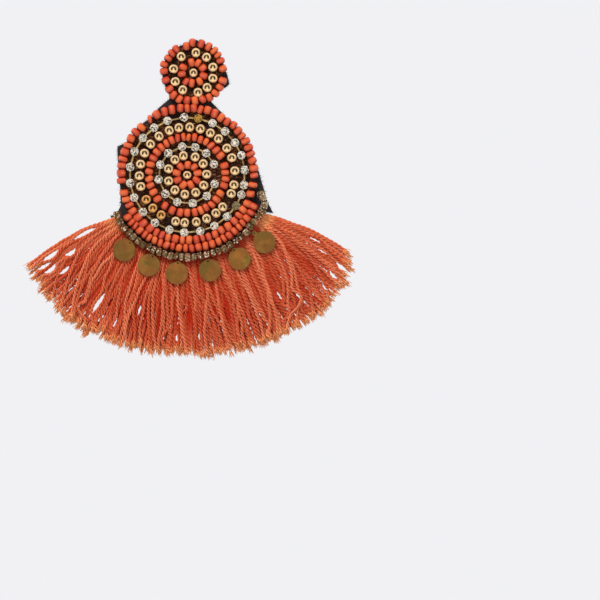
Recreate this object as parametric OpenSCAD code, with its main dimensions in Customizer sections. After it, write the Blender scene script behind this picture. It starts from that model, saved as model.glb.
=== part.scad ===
// Drop earring with a tassel fringe: a beaded stud disc on an ear post, a larger beaded
// medallion below it, and a fan of yarn with six brass discs over its root.
// Millimetres. X is the viewer's right, Z is up and the front faces -Y.
// The origin is the ear seat: the middle of the pad's back face, where the post leaves it.

/* [Beads] */
// Diameter of a gold ball
gold_d = 2.5; // [2.3:0.05:2.7]
// Diameter of a string of coral seed beads
seed_d = 2.1; // [1.9:0.05:2.3]
// Diameter of a string of bronze seed beads
bronze_d = 2.3; // [2:0.05:2.5]
// Diameter of the bore through a gold ball
bore_d = 0.7; // [0.6:0.05:0.9]
// Diameter of the thread through the gold balls
thread_d = 0.2; // [0.15:0.01:0.25]

/* [Cup chain] */
// Outer diameter of a cup
cup_d = 2.3; // [2.1:0.05:2.5]
// Height of a cup's wall
cup_h = 1.5; // [1.3:0.05:1.7]
// Thickness of a cup's wall
cup_wall = 0.1; // [0.08:0.01:0.14]
// Thickness of a cup's floor
cup_floor = 0.25; // [0.2:0.05:0.35]
// Height of the four prongs above the wall
prong_h = 0.18; // [0.1:0.02:0.26]
// Width of the notches between the prongs
notch_w = 1.3; // [1.1:0.05:1.4]
// Width of a bar between two cups
bar_w = 0.5; // [0.4:0.05:0.6]
// Thickness of a bar
bar_t = 0.3; // [0.25:0.05:0.4]
// Height of a bar's underside above the felt
bar_lift = 0.5; // [0.4:0.05:0.6]

/* [Stones] */
// Clearance between a stone and its cup's wall
stone_clear = 0.05; // [0.04:0.01:0.08]
// Height of a stone's crown
crown_h = 0.45; // [0.35:0.05:0.55]
// Height of a stone's girdle
girdle_h = 0.12; // [0.08:0.02:0.16]
// Depth of a stone below its girdle
pavilion_h = 0.8; // [0.7:0.05:0.85]
// Depth of the girdle below the rim of the cup
stone_sink = 0.18; // [0.15:0.01:0.25]

/* [Rows of the medallion] */
// Gap between the centre ball and the flower ring, on both discs
flower_gap = 0.7; // [0.5:0.05:0.9]
// Gap between the flower ring and the inner gold balls
inner_gold_gap = 0.25; // [0.15:0.05:0.5]
// Gap between the inner gold balls and the inner cup chain
inner_cup_gap = 0.25; // [0.15:0.05:0.5]
// Gap between the inner cup chain and the middle coral ring
middle_gap = 0.45; // [0.2:0.05:0.7]
// Gap between the middle coral ring and the outer gold balls
outer_gold_gap = 0.45; // [0.2:0.05:0.7]
// Gap between the outer gold balls and the outer cup chain
outer_cup_gap = 0.4; // [0.2:0.05:0.7]
// Gap between the outer cup chain and the coral rim
rim_gap = 0.1; // [0.1:0.05:0.4]
// Gap between the coral rim and the crescent row
crescent_gap = 0.15; // [0.1:0.05:0.4]
// Gap between the crescent row and the bronze row
bronze_gap = 0.2; // [0.15:0.05:0.6]
// How far the crescent row runs up on the left, in degrees from straight down
crescent_left_angle = 56; // [48:1:58]
// How far the crescent row runs up on the right
crescent_right_angle = 67; // [55:1:69]
// Radius at which each end of the bronze row curls in
curl_r = 4.5; // [4:0.25:6]
// Angle through which each end of the bronze row curls
curl_turn = 50; // [30:5:60]

/* [Rows of the stud disc] */
// Gap between the flower ring and the gold balls
stud_gold_gap = 0.45; // [0.2:0.05:0.6]
// Gap between the gold balls and the coral rim
stud_rim_gap = 0.15; // [0.1:0.05:0.4]
// Gap between the beads of the stud disc and those of the medallion
disc_gap = 0.1; // [0.1:0.05:0.6]
// How far the medallion hangs to the left of straight down, in degrees
lean = 3.5; // [-5:0.5:5]

/* [Felt and post] */
// Thickness of the felt
felt_t = 1.5; // [1:0.1:2.5]
// How far the felt stays inside the outer edge of the beads
felt_inset = 0.35; // [0.2:0.05:0.6]
// Width of felt beyond the head of the fringe
felt_hem = 0.3; // [0.2:0.05:0.6]
// Diameter of the pad behind the ear post
pad_d = 8; // [6:0.5:10]
// Thickness of the pad
pad_t = 0.5; // [0.4:0.1:0.8]
// Diameter of the post
post_d = 0.8; // [0.7:0.05:1]
// Length of the post behind the pad
post_len = 11; // [9.5:0.5:12]

/* [Brass discs] */
// Diameter of a brass disc
disc_d = 6.4; // [5.7:0.1:6.8]
// Thickness of a brass disc
disc_t = 0.4; // [0.3:0.05:0.5]
// Chamfer round the edges of a brass disc
disc_chamfer = 0.08; // [0.04:0.02:0.12]
// Width of the ear above a disc
ear_w = 1.3; // [1.1:0.1:1.6]
// Diameter of the hole in the ear
ear_bore = 0.5; // [0.4:0.05:0.6]

/* [Fringe] */
// Length of the yarn below the head
fringe_len = 28; // [22:0.5:32]
// Locks in the fan
lock_count = 30; // [24:1:34]
// Half angle of the fan on the left
fan_left_angle = 62; // [55:1:63]
// Half angle of the fan on the right
fan_right_angle = 65; // [55:1:66]
// Thickness of the head, where the yarn is sewn to the felt
head_t = 0.8; // [0.6:0.1:1.2]
// Width of the head, measured towards the tips
head_w = 2.5; // [2.2:0.1:3]
// Thickness of the fringe at its fullest
lock_t = 2.2; // [1.8:0.1:2.6]
// How far the tips of the locks sway sideways, in degrees
lock_sway_angle = 1; // [0:0.25:1.5]
// Depth of the notches between the tips of the locks
tip_notch = 2.5; // [1:0.25:4]

/* [Hidden] */
$fn = 48;

// Clearance between pieces that lie on one another
seat_gap = 0.05;
// Least clearance between two loose pieces of one row
loose_gap = 0.1;
// Overshoot of a cut past the face that it leaves
cut_over = 0.5;
// Sides of a stone and of the bronze row
stone_sides = 8;
row_sides = 12;
// Columns of faces across a lock of yarn
lock_columns = 4;
// Turns of the locks' sway across the whole fan, and seed of their uneven lengths
sway_turns = 3;
uneven_seed = 7;
// Largest difference in length between one lock and the next, as a share
uneven_share = 0.02;
// Turn between two rings of the bronze row, on its arc and in its curled ends
row_step_angle = 5;
curl_step_angle = 12.5;
// Turn between two points on the felt's round stretches
felt_step_angle = 4;

coral = "coral";
gold = "goldenrod";
bronze = "darkkhaki";
brass = "peru";
clear_glass = "azure";
black_felt = "dimgray";
steel = "silver";
black_thread = "black";

// Places of the hand-sewn pieces, in degrees clockwise from the top
stud_gold_angles = [7, 40, 74, 106, 137, 167, 212, 244, 281, 323];
inner_gold_angles = [-11, 24, 55, 88, 122, 154, 187, 219, 252, 288, 321];
outer_gold_angles = [
  -10, 3, 16, 29, 41, 56, 69, 85, 102, 113, 132, 143, 156,
  169, 183, 194, 213, 226, 239, 256, 269, 283, 297, 310, 324, 338
];
// Places of the cups, from one end of each chain to the other
inner_cup_angles = [108, 137, 169, 200, 229, 261, 291, 319, 350, 376, 401, 428];
outer_cup_angles = [
  110, 122, 136, 152, 167, 183, 198, 214, 230, 247, 262, 278,
  294, 310, 325, 340, 357, 371, 386, 401, 416, 430, 445, 460
];
// Cups of the outer chain that have lost their stone, counted from 0
bare_cup_index = [1, 17];

// The brass discs: degrees from straight down, right positive, and length of the neck above each
disc_angles = [-40, -23, -6, 13.5, 32, 49];
disc_necks = [0.05, 0.05, 0.25, 0.05, 0.3, 1.3];

// Radii of the rows, from the centre of each disc outwards
flower_r = gold_d / 2 + flower_gap + seed_d / 2;
inner_gold_r = flower_r + seed_d / 2 + inner_gold_gap + gold_d / 2;
inner_cup_r = inner_gold_r + gold_d / 2 + inner_cup_gap + cup_d / 2;
middle_r = inner_cup_r + cup_d / 2 + middle_gap + seed_d / 2;
outer_gold_r = middle_r + seed_d / 2 + outer_gold_gap + gold_d / 2;
outer_cup_r = outer_gold_r + gold_d / 2 + outer_cup_gap + cup_d / 2;
rim_r = outer_cup_r + cup_d / 2 + rim_gap + seed_d / 2;
crescent_r = rim_r + seed_d + crescent_gap;
bronze_r = crescent_r + seed_d / 2 + bronze_gap + bronze_d / 2;
stud_gold_r = flower_r + seed_d / 2 + stud_gold_gap + gold_d / 2;
stud_rim_r = stud_gold_r + gold_d / 2 + stud_rim_gap + seed_d / 2;

// Outer edges of the beads on the two discs, and the medallion's centre below the stud disc
stud_edge = stud_rim_r + seed_d / 2;
medallion_edge = rim_r + seed_d / 2;
centre_gap = stud_edge + medallion_edge + disc_gap;
medallion_x = -centre_gap * sin(lean);
medallion_y = -centre_gap * cos(lean);

// Heights above the ear seat, towards the viewer
felt_back = pad_t + seat_gap;
felt_front = felt_back + felt_t;
// Heights above the felt
gold_h = seat_gap + gold_d / 2;
seed_h = seat_gap + seed_d / 2;
bronze_h = 2 * seat_gap + head_t + bronze_d / 2;
girdle_base = cup_h - stone_sink - girdle_h;

// The head of the fringe lies between the crescent row and the felt's lower edge
head_in = crescent_r + seed_d / 2 + loose_gap;
head_out = head_in + head_w;
felt_low_r = head_out + felt_hem;
bronze_edge = bronze_r + bronze_d / 2;

// The felt's hand-cut corners, as shares of the outer radius of the beads round them
stud_right_cut_shares = [[0.97, -0.46], [1.1, -0.34], [1.04, -0.05], [0.97, 0.1]];
stud_top_cut_shares = [[0.55, 0.8], [0.08, 1.03], [-0.2, 0.93], [-0.6, 0.76]];
neck_left_cut_shares = [[-0.26, 1.1], [-0.43, 0.95]];
neck_right_cut_shares = [[0.5, 0.9], [0.34, 1.06]];
medallion_left_cut_shares = [[-1.01, 0.41], [-1, 0.14], [-0.97, -0.17], [-0.96, -0.44], [-1.02, -0.56]];
medallion_right_cut_shares = [[1.24, -0.55], [1.15, -0.37], [1.07, -0.08], [1.02, 0.09]];
// Round stretches between them, in degrees to the right of straight down
stud_low_angles = [40, 60];
stud_right_angles = [102, 140];
stud_left_angles = [224, 308];
medallion_left_angles = [-150, -120];
medallion_right_angles = [102, 146];
// Reach of the felt's lower right corner, which the fringe passes in front of
corner_r = max([for (c = medallion_right_cut_shares) norm(c)]) * medallion_edge;

// The yarn lies flat on the felt from its head to here, and is free below
free_r = corner_r + loose_gap;
flat_radii = [head_in, felt_low_r, free_r];

// Length of the fringe across the fan: place from -1 at the left to 1 at the right, length share
fringe_reach_shares = [
  [-1, 0.99], [-0.8, 1.02], [-0.6, 1.02], [-0.45, 0.98], [-0.15, 0.95],
  [0.2, 0.965], [0.5, 1.02], [0.66, 1.08], [0.86, 1.07], [1, 0.99]
];
// Sections of the free yarn, from where it leaves the felt to its tips, as shares of its length,
// then its thickness and the depth of its grooves as shares of lock_t
section_shares = [0.25, 0.55, 0.85, 1];
thickness_shares = [1, 1, 0.9, 0.45];
groove_shares = [0.35, 0.5, 0.6, 0.25];
// Height of the middle of the yarn above the felt, and of the discs that lie on it
yarn_h = seat_gap + head_t / 2;
disc_h = yarn_h + lock_t * thickness_shares[0] / 2 + seat_gap;

// Places spread over a ring of radius r, drawn together towards even spacing only as far as
// pieces of diameter d need it to stay clear of each other
function settled(at, r, d) =
  let (
    count = len(at),
    pitch = 360 / count,
    room = pitch - 2 * asin((d + loose_gap) / (2 * r)),
    steps = [for (i = [0:count - 1]) i < count - 1 ? at[i + 1] - at[i] : at[0] + 360 - at[i]],
    squeeze = max([for (s = steps) pitch - s]),
    keep = min(1, room / squeeze)
  )
  [for (i = [0:count - 1]) at[0] + pitch * i + keep * (at[i] - at[0] - pitch * i)];

// Draws children that are laid out in front view, x right, y up and z towards the viewer
module front_view(height) {
  rotate([90, 0, 0])
    translate([0, 0, height])
      children();
}

module on_medallion() {
  front_view(felt_front)
    translate([medallion_x, medallion_y, 0])
      children();
}

// Puts children at a place on a ring, degrees clockwise from the top, with y outwards
module at_clock(degrees, r, height) {
  rotate([0, 0, -degrees])
    translate([0, r, height])
      children();
}

// Puts children at a place degrees to the right of straight down, with y inwards
module at_bottom(degrees, r, height) {
  rotate([0, 0, degrees])
    translate([0, -r, height])
      children();
}

// A string of seed beads sewn in a full ring, as the round bar that it fills
module bead_ring(r, d) {
  translate([0, 0, seat_gap + d / 2])
    rotate_extrude()
      translate([r, 0])
        circle(d = d);
}

// A string of beads along an arc, from left to right in degrees either side of straight down
module bead_arc(r, d, left, right) {
  rotate([0, 0, -90 - left])
    rotate_extrude(angle = left + right)
      translate([r, 0])
        circle(d = d);
}

// A gold ball, drilled along the row that it is sewn in
module gold_ball() {
  rotate([0, 90, 0])
    difference() {
      sphere(d = gold_d);
      cylinder(d = bore_d, h = gold_d + 2 * cut_over, center = true);
    }
}

module gold_ring(at, r) {
  for (a = settled(at, r, gold_d))
    at_clock(a, r, gold_h)
      gold_ball();
}

module thread_ring(r) {
  translate([0, 0, gold_h])
    rotate_extrude()
      translate([r, 0])
        circle(d = thread_d);
}

// A cup with its floor on the felt and four prongs round its mouth
module cup() {
  wall_r = cup_d / 2;
  difference() {
    translate([0, 0, seat_gap])
      rotate_extrude()
        polygon([
          [0, 0], [wall_r, 0], [wall_r, cup_h + prong_h], [wall_r - cup_wall, cup_h + prong_h],
          [wall_r - cup_wall, cup_floor], [0, cup_floor]
        ]);
    for (turn = [0, 90])
      rotate([0, 0, turn])
        translate([-notch_w / 2, -cup_d, seat_gap + cup_h])
          cube([notch_w, 2 * cup_d, prong_h + cut_over]);
  }
}

// A bar from the wall of one cup to the wall of the next
module cup_bar(from, to, r) {
  half_step = (to - from) / 2;
  chord = 2 * r * sin(half_step);
  bar_len = chord - cup_d + cup_wall;
  at_clock(from + half_step, r * cos(half_step), seat_gap + bar_lift + bar_t / 2)
    cube([bar_len, bar_w, bar_t], center = true);
}

module cup_chain(at, r) {
  places = settled(at, r, cup_d);
  for (a = places)
    at_clock(a, r, 0)
      cup();
  for (i = [1:len(places) - 1])
    cup_bar(places[i - 1], places[i], r);
}

// Places on an arc of radius r about a point, each with the way that its outer side faces
function arc_places(centre, r, turns) = [
  for (a = turns) [centre[0] + r * sin(a), centre[1] - r * cos(a), a]
];

// Points along a round stretch of the felt, from one angle to another
function felt_arc(centre, r, ends) =
  let (count = ceil(abs(ends[1] - ends[0]) / felt_step_angle))
  [
    for (k = [0:count])
      let (a = ends[0] + (ends[1] - ends[0]) * k / count)
      centre + r * [sin(a), -cos(a)]
  ];

function felt_cut(centre, r, corners) = [for (c = corners) centre + r * c];

// Faces of a closed form that is stacked from rings of n points, the first ring uppermost
function side_faces(n, low) = [
  for (i = [0:n - 1])
    let (j = (i + 1) % n)
    [low - n + i, low - n + j, low + j, low + i]
];

// A cut stone: an octagonal table, sixteen crown facets, a girdle and a pointed pavilion
module stone() {
  n = stone_sides;
  stone_r = cup_d / 2 - cup_wall - stone_clear;
  half_turn = 180 / n;
  table_r = 0.56 * stone_r;
  culet_r = 0.12 * stone_r;
  top_z = girdle_base + girdle_h + crown_h;
  rings = [
    [table_r, top_z, half_turn],
    [stone_r, girdle_base + girdle_h, 0],
    [stone_r, girdle_base, 0],
    [culet_r, girdle_base - pavilion_h, 0]
  ];
  points = [
    for (ring = rings)
      for (i = [0:n - 1])
        let (a = 360 * i / n + ring[2])
        [ring[0] * cos(a), ring[0] * sin(a), ring[1]]
  ];
  table_face = [[for (i = [0:n - 1]) n - 1 - i]];
  culet_face = [[for (i = [0:n - 1]) 3 * n + i]];
  crown_down = [for (i = [0:n - 1]) [i, (i + 1) % n, n + (i + 1) % n]];
  crown_up = [for (i = [0:n - 1]) [i, n + (i + 1) % n, n + i]];
  polyhedron(
    points,
    concat(table_face, crown_down, crown_up, side_faces(n, 2 * n), side_faces(n, 3 * n), culet_face)
  );
}

module stone_ring(at, r, bare) {
  places = settled(at, r, cup_d);
  for (i = [0:len(places) - 1])
    if (len([for (b = bare) if (b == i) b]) == 0)
      at_clock(places[i], r, seat_gap)
        stone();
}

module brass_disc(index) {
  eyelet_r = bronze_edge + loose_gap + ear_w / 2;
  centre_r = bronze_edge + loose_gap + disc_necks[index] + disc_d / 2;
  edge_r = disc_d / 2;
  color(brass)
    on_medallion()
      difference() {
        union() {
          at_bottom(disc_angles[index], centre_r, disc_h)
            rotate_extrude()
              polygon([
                [0, 0], [edge_r - disc_chamfer, 0], [edge_r, disc_chamfer],
                [edge_r, disc_t - disc_chamfer], [edge_r - disc_chamfer, disc_t], [0, disc_t]
              ]);
          at_bottom(disc_angles[index], eyelet_r, disc_h)
            cylinder(d = ear_w, h = disc_t);
          at_bottom(disc_angles[index], eyelet_r, disc_h)
            translate([-ear_w / 2, -ear_w, 0])
              cube([ear_w, ear_w, disc_t]);
        }
        at_bottom(disc_angles[index], eyelet_r, disc_h - cut_over)
          cylinder(d = ear_bore, h = disc_t + 2 * cut_over);
      }
}

// How full the yarn is across the fan: 1 along the middle of each lock, 0 between two locks
function lock_bulge(column) = sin(180 * (column % lock_columns) / lock_columns);

// Points of the fringe's front (side 1) or back (side -1), row by row from the head to the tips
function fringe_points(columns, side) =
  let (
    span = fan_left_angle + fan_right_angle,
    spread = rands(1 - uneven_share, 1 + uneven_share, lock_count + 1, uneven_seed)
  )
  [
    for (r = flat_radii)
      for (c = [0:columns])
        let (a = span * c / columns - fan_left_angle)
        [r * sin(a), -r * cos(a), yarn_h + side * head_t / 2],
    for (i = [0:len(section_shares) - 1])
      for (c = [0:columns])
        let (
          across = c / columns,
          side_span = span * across < fan_left_angle ? fan_left_angle : fan_right_angle,
          reach = lookup((span * across - fan_left_angle) / side_span, fringe_reach_shares),
          bulge = lock_bulge(c),
          tip_r = head_out + fringe_len * reach * spread[floor(c / lock_columns)]
            - tip_notch * (1 - bulge),
          r = free_r + section_shares[i] * (tip_r - free_r),
          sway = section_shares[i] * lock_sway_angle * sin(360 * sway_turns * across),
          a = span * across - fan_left_angle + sway,
          half_t = lock_t / 2 * (thickness_shares[i] - groove_shares[i] * (1 - bulge))
        )
        [r * sin(a), -r * cos(a), yarn_h + side * half_t]
  ];

// Two triangles for the four corners of a face, clockwise from outside
function split_face(a, b, c, d) = [[a, b, c], [a, c, d]];

// The felt's outline runs up the right of the stud disc, over it and down the left side
module felt_backing() {
  stud = [0, 0];
  medallion = [medallion_x, medallion_y];
  stud_felt_r = stud_edge - felt_inset;
  medallion_felt_r = medallion_edge - felt_inset;
  outline = concat(
    felt_arc(stud, stud_felt_r, stud_low_angles),
    felt_cut(stud, stud_edge, stud_right_cut_shares),
    felt_arc(stud, stud_felt_r, stud_right_angles),
    felt_cut(stud, stud_edge, stud_top_cut_shares),
    felt_arc(stud, stud_felt_r, stud_left_angles),
    felt_cut(medallion, medallion_edge, neck_left_cut_shares),
    felt_arc(medallion, medallion_felt_r, medallion_left_angles),
    felt_cut(medallion, medallion_edge, medallion_left_cut_shares),
    felt_arc(medallion, felt_low_r, [-fan_left_angle, fan_right_angle]),
    felt_cut(medallion, medallion_edge, medallion_right_cut_shares),
    felt_arc(medallion, medallion_felt_r, medallion_right_angles),
    felt_cut(medallion, medallion_edge, neck_right_cut_shares)
  );
  color(black_felt)
    front_view(felt_back)
      linear_extrude(felt_t)
        polygon(outline);
}

module ear_post() {
  color(steel)
    rotate([90, 0, 0]) {
      cylinder(d = pad_d, h = pad_t);
      translate([0, 0, -post_len])
        cylinder(d = post_d, h = post_len + pad_t / 2);
      translate([0, 0, -post_len])
        sphere(d = post_d);
    }
}

module stud_centre_bead() {
  color(gold)
    front_view(felt_front + gold_h)
      gold_ball();
}

module stud_flower_ring() {
  color(coral)
    front_view(felt_front)
      bead_ring(flower_r, seed_d);
}

module stud_gold_beads() {
  color(gold)
    front_view(felt_front)
      gold_ring(stud_gold_angles, stud_gold_r);
}

module stud_gold_thread() {
  color(black_thread)
    front_view(felt_front)
      thread_ring(stud_gold_r);
}

module stud_rim_ring() {
  color(coral)
    front_view(felt_front)
      bead_ring(stud_rim_r, seed_d);
}

module medallion_centre_bead() {
  color(gold)
    on_medallion()
      translate([0, 0, gold_h])
        gold_ball();
}

module medallion_flower_ring() {
  color(coral)
    on_medallion()
      bead_ring(flower_r, seed_d);
}

module inner_gold_beads() {
  color(gold)
    on_medallion()
      gold_ring(inner_gold_angles, inner_gold_r);
}

module inner_gold_thread() {
  color(black_thread)
    on_medallion()
      thread_ring(inner_gold_r);
}

module inner_cup_chain() {
  color(gold)
    on_medallion()
      cup_chain(inner_cup_angles, inner_cup_r);
}

module inner_stones() {
  color(clear_glass)
    on_medallion()
      stone_ring(inner_cup_angles, inner_cup_r, []);
}

module middle_coral_ring() {
  color(coral)
    on_medallion()
      bead_ring(middle_r, seed_d);
}

module outer_gold_beads() {
  color(gold)
    on_medallion()
      gold_ring(outer_gold_angles, outer_gold_r);
}

module outer_gold_thread() {
  color(black_thread)
    on_medallion()
      thread_ring(outer_gold_r);
}

module outer_cup_chain() {
  color(gold)
    on_medallion()
      cup_chain(outer_cup_angles, outer_cup_r);
}

module outer_stones() {
  color(clear_glass)
    on_medallion()
      stone_ring(outer_cup_angles, outer_cup_r, bare_cup_index);
}

module rim_coral_ring() {
  color(coral)
    on_medallion()
      bead_ring(rim_r, seed_d);
}

module crescent_coral_row() {
  color(coral)
    on_medallion()
      translate([0, 0, seed_h])
        bead_arc(crescent_r, seed_d, crescent_left_angle, crescent_right_angle);
}

// The bronze beads lie on the head of the fringe, and each end of their row curls in
module bronze_row() {
  n = row_sides;
  curl_span = atan(curl_r * sin(curl_turn) / (bronze_r - curl_r + curl_r * cos(curl_turn)));
  left = fan_left_angle - curl_span;
  right = fan_right_angle + curl_span / 2;
  inner_r = bronze_r - curl_r;
  steps = ceil((left + right) / row_step_angle);
  curls = ceil(curl_turn / curl_step_angle);
  places = concat(
    arc_places(
      inner_r * [-sin(left), -cos(left)], curl_r,
      [for (k = [curls:-1:1]) -left - curl_turn * k / curls]
    ),
    arc_places([0, 0], bronze_r, [for (k = [0:steps]) -left + (left + right) * k / steps]),
    arc_places(
      inner_r * [sin(right), -cos(right)], curl_r,
      [for (k = [1:curls]) right + curl_turn * k / curls]
    )
  );
  last = len(places) - 1;
  points = [
    for (p = places)
      for (i = [0:n - 1])
        let (
          side = bronze_d / 2 * cos(360 * i / n),
          lift = bronze_d / 2 * sin(360 * i / n)
        )
        [p[0] + side * sin(p[2]), p[1] - side * cos(p[2]), lift]
  ];
  left_end = [[for (i = [0:n - 1]) n - 1 - i]];
  right_end = [[for (i = [0:n - 1]) last * n + i]];
  sides = [for (k = [1:last]) each side_faces(n, k * n)];
  color(bronze)
    on_medallion()
      translate([0, 0, bronze_h])
        polyhedron(points, concat(left_end, sides, right_end));
}

module brass_disc_1() {
  brass_disc(0);
}

module brass_disc_2() {
  brass_disc(1);
}

module brass_disc_3() {
  brass_disc(2);
}

module brass_disc_4() {
  brass_disc(3);
}

module brass_disc_5() {
  brass_disc(4);
}

module brass_disc_6() {
  brass_disc(5);
}

// The yarn's outer form: a flat head on the felt, and locks fused side by side into a fan
module fringe() {
  columns = lock_count * lock_columns;
  wide = columns + 1;
  rows = len(flat_radii) + len(section_shares);
  back = rows * wide;
  last_row = (rows - 1) * wide;
  sheets = [
    for (i = [0:rows - 2])
      for (j = [0:columns - 1])
        let (a = i * wide + j, b = a + 1, c = b + wide, d = a + wide)
        each concat(
          split_face(a, b, c, d),
          split_face(back + d, back + c, back + b, back + a)
        )
  ];
  long_walls = [
    for (j = [0:columns - 1])
      each concat(
        split_face(j + 1, j, back + j, back + j + 1),
        split_face(last_row + j, last_row + j + 1, back + last_row + j + 1, back + last_row + j)
      )
  ];
  short_walls = [
    for (i = [0:rows - 2])
      let (left = i * wide, right = left + columns)
      each concat(
        split_face(left, left + wide, back + left + wide, back + left),
        split_face(right + wide, right, back + right, back + right + wide)
      )
  ];
  color(coral)
    on_medallion()
      polyhedron(
        concat(fringe_points(columns, 1), fringe_points(columns, -1)),
        concat(sheets, long_walls, short_walls)
      );
}

felt_backing();
ear_post();
stud_centre_bead();
stud_flower_ring();
stud_gold_beads();
stud_gold_thread();
stud_rim_ring();
medallion_centre_bead();
medallion_flower_ring();
inner_gold_beads();
inner_gold_thread();
inner_cup_chain();
inner_stones();
middle_coral_ring();
outer_gold_beads();
outer_gold_thread();
outer_cup_chain();
outer_stones();
rim_coral_ring();
crescent_coral_row();
bronze_row();
brass_disc_1();
brass_disc_2();
brass_disc_3();
brass_disc_4();
brass_disc_5();
brass_disc_6();
fringe();
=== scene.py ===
"""Dresses the tassel earring: seed beads, gold balls, cut stones, felt, brass discs and yarn.

Metres throughout. The earring hangs in the XZ plane with its beads towards -Y.
"""

import logging
import math
import random
from collections import defaultdict
from collections.abc import Callable, Mapping, Sequence
from dataclasses import dataclass, field
from enum import Enum
from typing import TypeAlias

import bmesh
import bpy
from mathutils import Matrix, Vector, noise

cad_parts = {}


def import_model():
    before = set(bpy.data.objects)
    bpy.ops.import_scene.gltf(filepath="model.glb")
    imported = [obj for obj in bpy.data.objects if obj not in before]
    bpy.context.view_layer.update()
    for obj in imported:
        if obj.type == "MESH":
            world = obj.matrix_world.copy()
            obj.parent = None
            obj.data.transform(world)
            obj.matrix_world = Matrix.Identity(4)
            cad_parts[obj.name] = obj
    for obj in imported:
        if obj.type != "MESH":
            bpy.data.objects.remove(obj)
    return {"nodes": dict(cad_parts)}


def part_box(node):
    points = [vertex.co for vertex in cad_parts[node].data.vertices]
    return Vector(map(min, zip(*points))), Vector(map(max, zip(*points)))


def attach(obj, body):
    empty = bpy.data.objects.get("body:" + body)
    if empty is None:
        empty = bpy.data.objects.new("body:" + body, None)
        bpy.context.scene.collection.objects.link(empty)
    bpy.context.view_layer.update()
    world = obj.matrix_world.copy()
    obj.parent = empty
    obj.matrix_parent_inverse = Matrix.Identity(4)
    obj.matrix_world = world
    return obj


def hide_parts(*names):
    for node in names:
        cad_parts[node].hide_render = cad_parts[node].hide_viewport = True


log = logging.getLogger("tassel earring")

MM = 0.001
BODY = "root"
TOWARDS_VIEWER = Vector((0.0, -1.0, 0.0))

Colour: TypeAlias = tuple[float, float, float, float]
Value: TypeAlias = "Sock | float | Sequence[float]"
Sockets: TypeAlias = "Mapping[str | int, Value]"
Numbers: TypeAlias = Mapping[str, Sequence[float]]


def srgb(red: int, green: int, blue: int) -> Colour:
    """Turns a display colour into a linear one.

    Args:
        red: Red, from 0 to 255.
        green: Green, from 0 to 255.
        blue: Blue, from 0 to 255.

    Returns:
        The linear colour, opaque.
    """
    shares = (v / 255 for v in (red, green, blue))
    linear = [v / 12.92 if v <= 0.04045 else ((v + 0.055) / 1.055) ** 2.4 for v in shares]
    return (linear[0], linear[1], linear[2], 1.0)


def clamp(share: float) -> float:
    """Keeps a share from 0 to 1."""
    return min(max(share, 0.0), 1.0)


def ease(share: float) -> float:
    """Turns a share from 0 to 1 into one that starts and ends gently."""
    share = clamp(share)
    return share * share * (3 - 2 * share)


class Slot(Enum):
    """The record's material slots."""

    FELT = "black_felt"
    GOLD = "gold"
    CORAL = "coral_glass"
    BRONZE = "bronze_glass"
    STONE = "clear_stone"
    THREAD = "black_thread"
    YARN = "coral_yarn"


def sum_method(operation: str, reflected: bool = False) -> Callable[["Sock", Value], "Sock"]:
    """Makes an operator of a socket.

    Args:
        operation: The Math node's operation.
        reflected: Whether the socket stands on the right.

    Returns:
        The operator's method.
    """

    def method(sock: "Sock", other: Value) -> "Sock":
        """Adds the Math node."""
        return sock.graph.maths(operation, *((other, sock) if reflected else (sock, other)))

    return method


class Sock:
    """A shader socket that works in Python sums."""

    __add__ = sum_method("ADD")
    __radd__ = sum_method("ADD", reflected=True)
    __sub__ = sum_method("SUBTRACT")
    __rsub__ = sum_method("SUBTRACT", reflected=True)
    __mul__ = sum_method("MULTIPLY")
    __rmul__ = sum_method("MULTIPLY", reflected=True)
    __truediv__ = sum_method("DIVIDE")

    def __init__(self, graph: "Graph", socket: bpy.types.NodeSocket) -> None:
        """Keeps the socket and the graph that it is in."""
        self.graph = graph
        self.socket = socket

    def above(self, low: float, high: float) -> "Sock":
        """A smooth step from 0 at one value to 1 at another."""
        sockets = {"Value": self, "From Min": low, "From Max": high}
        return self.graph.out("MapRange", {"interpolation_type": "SMOOTHSTEP"}, sockets, "Result")


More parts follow.
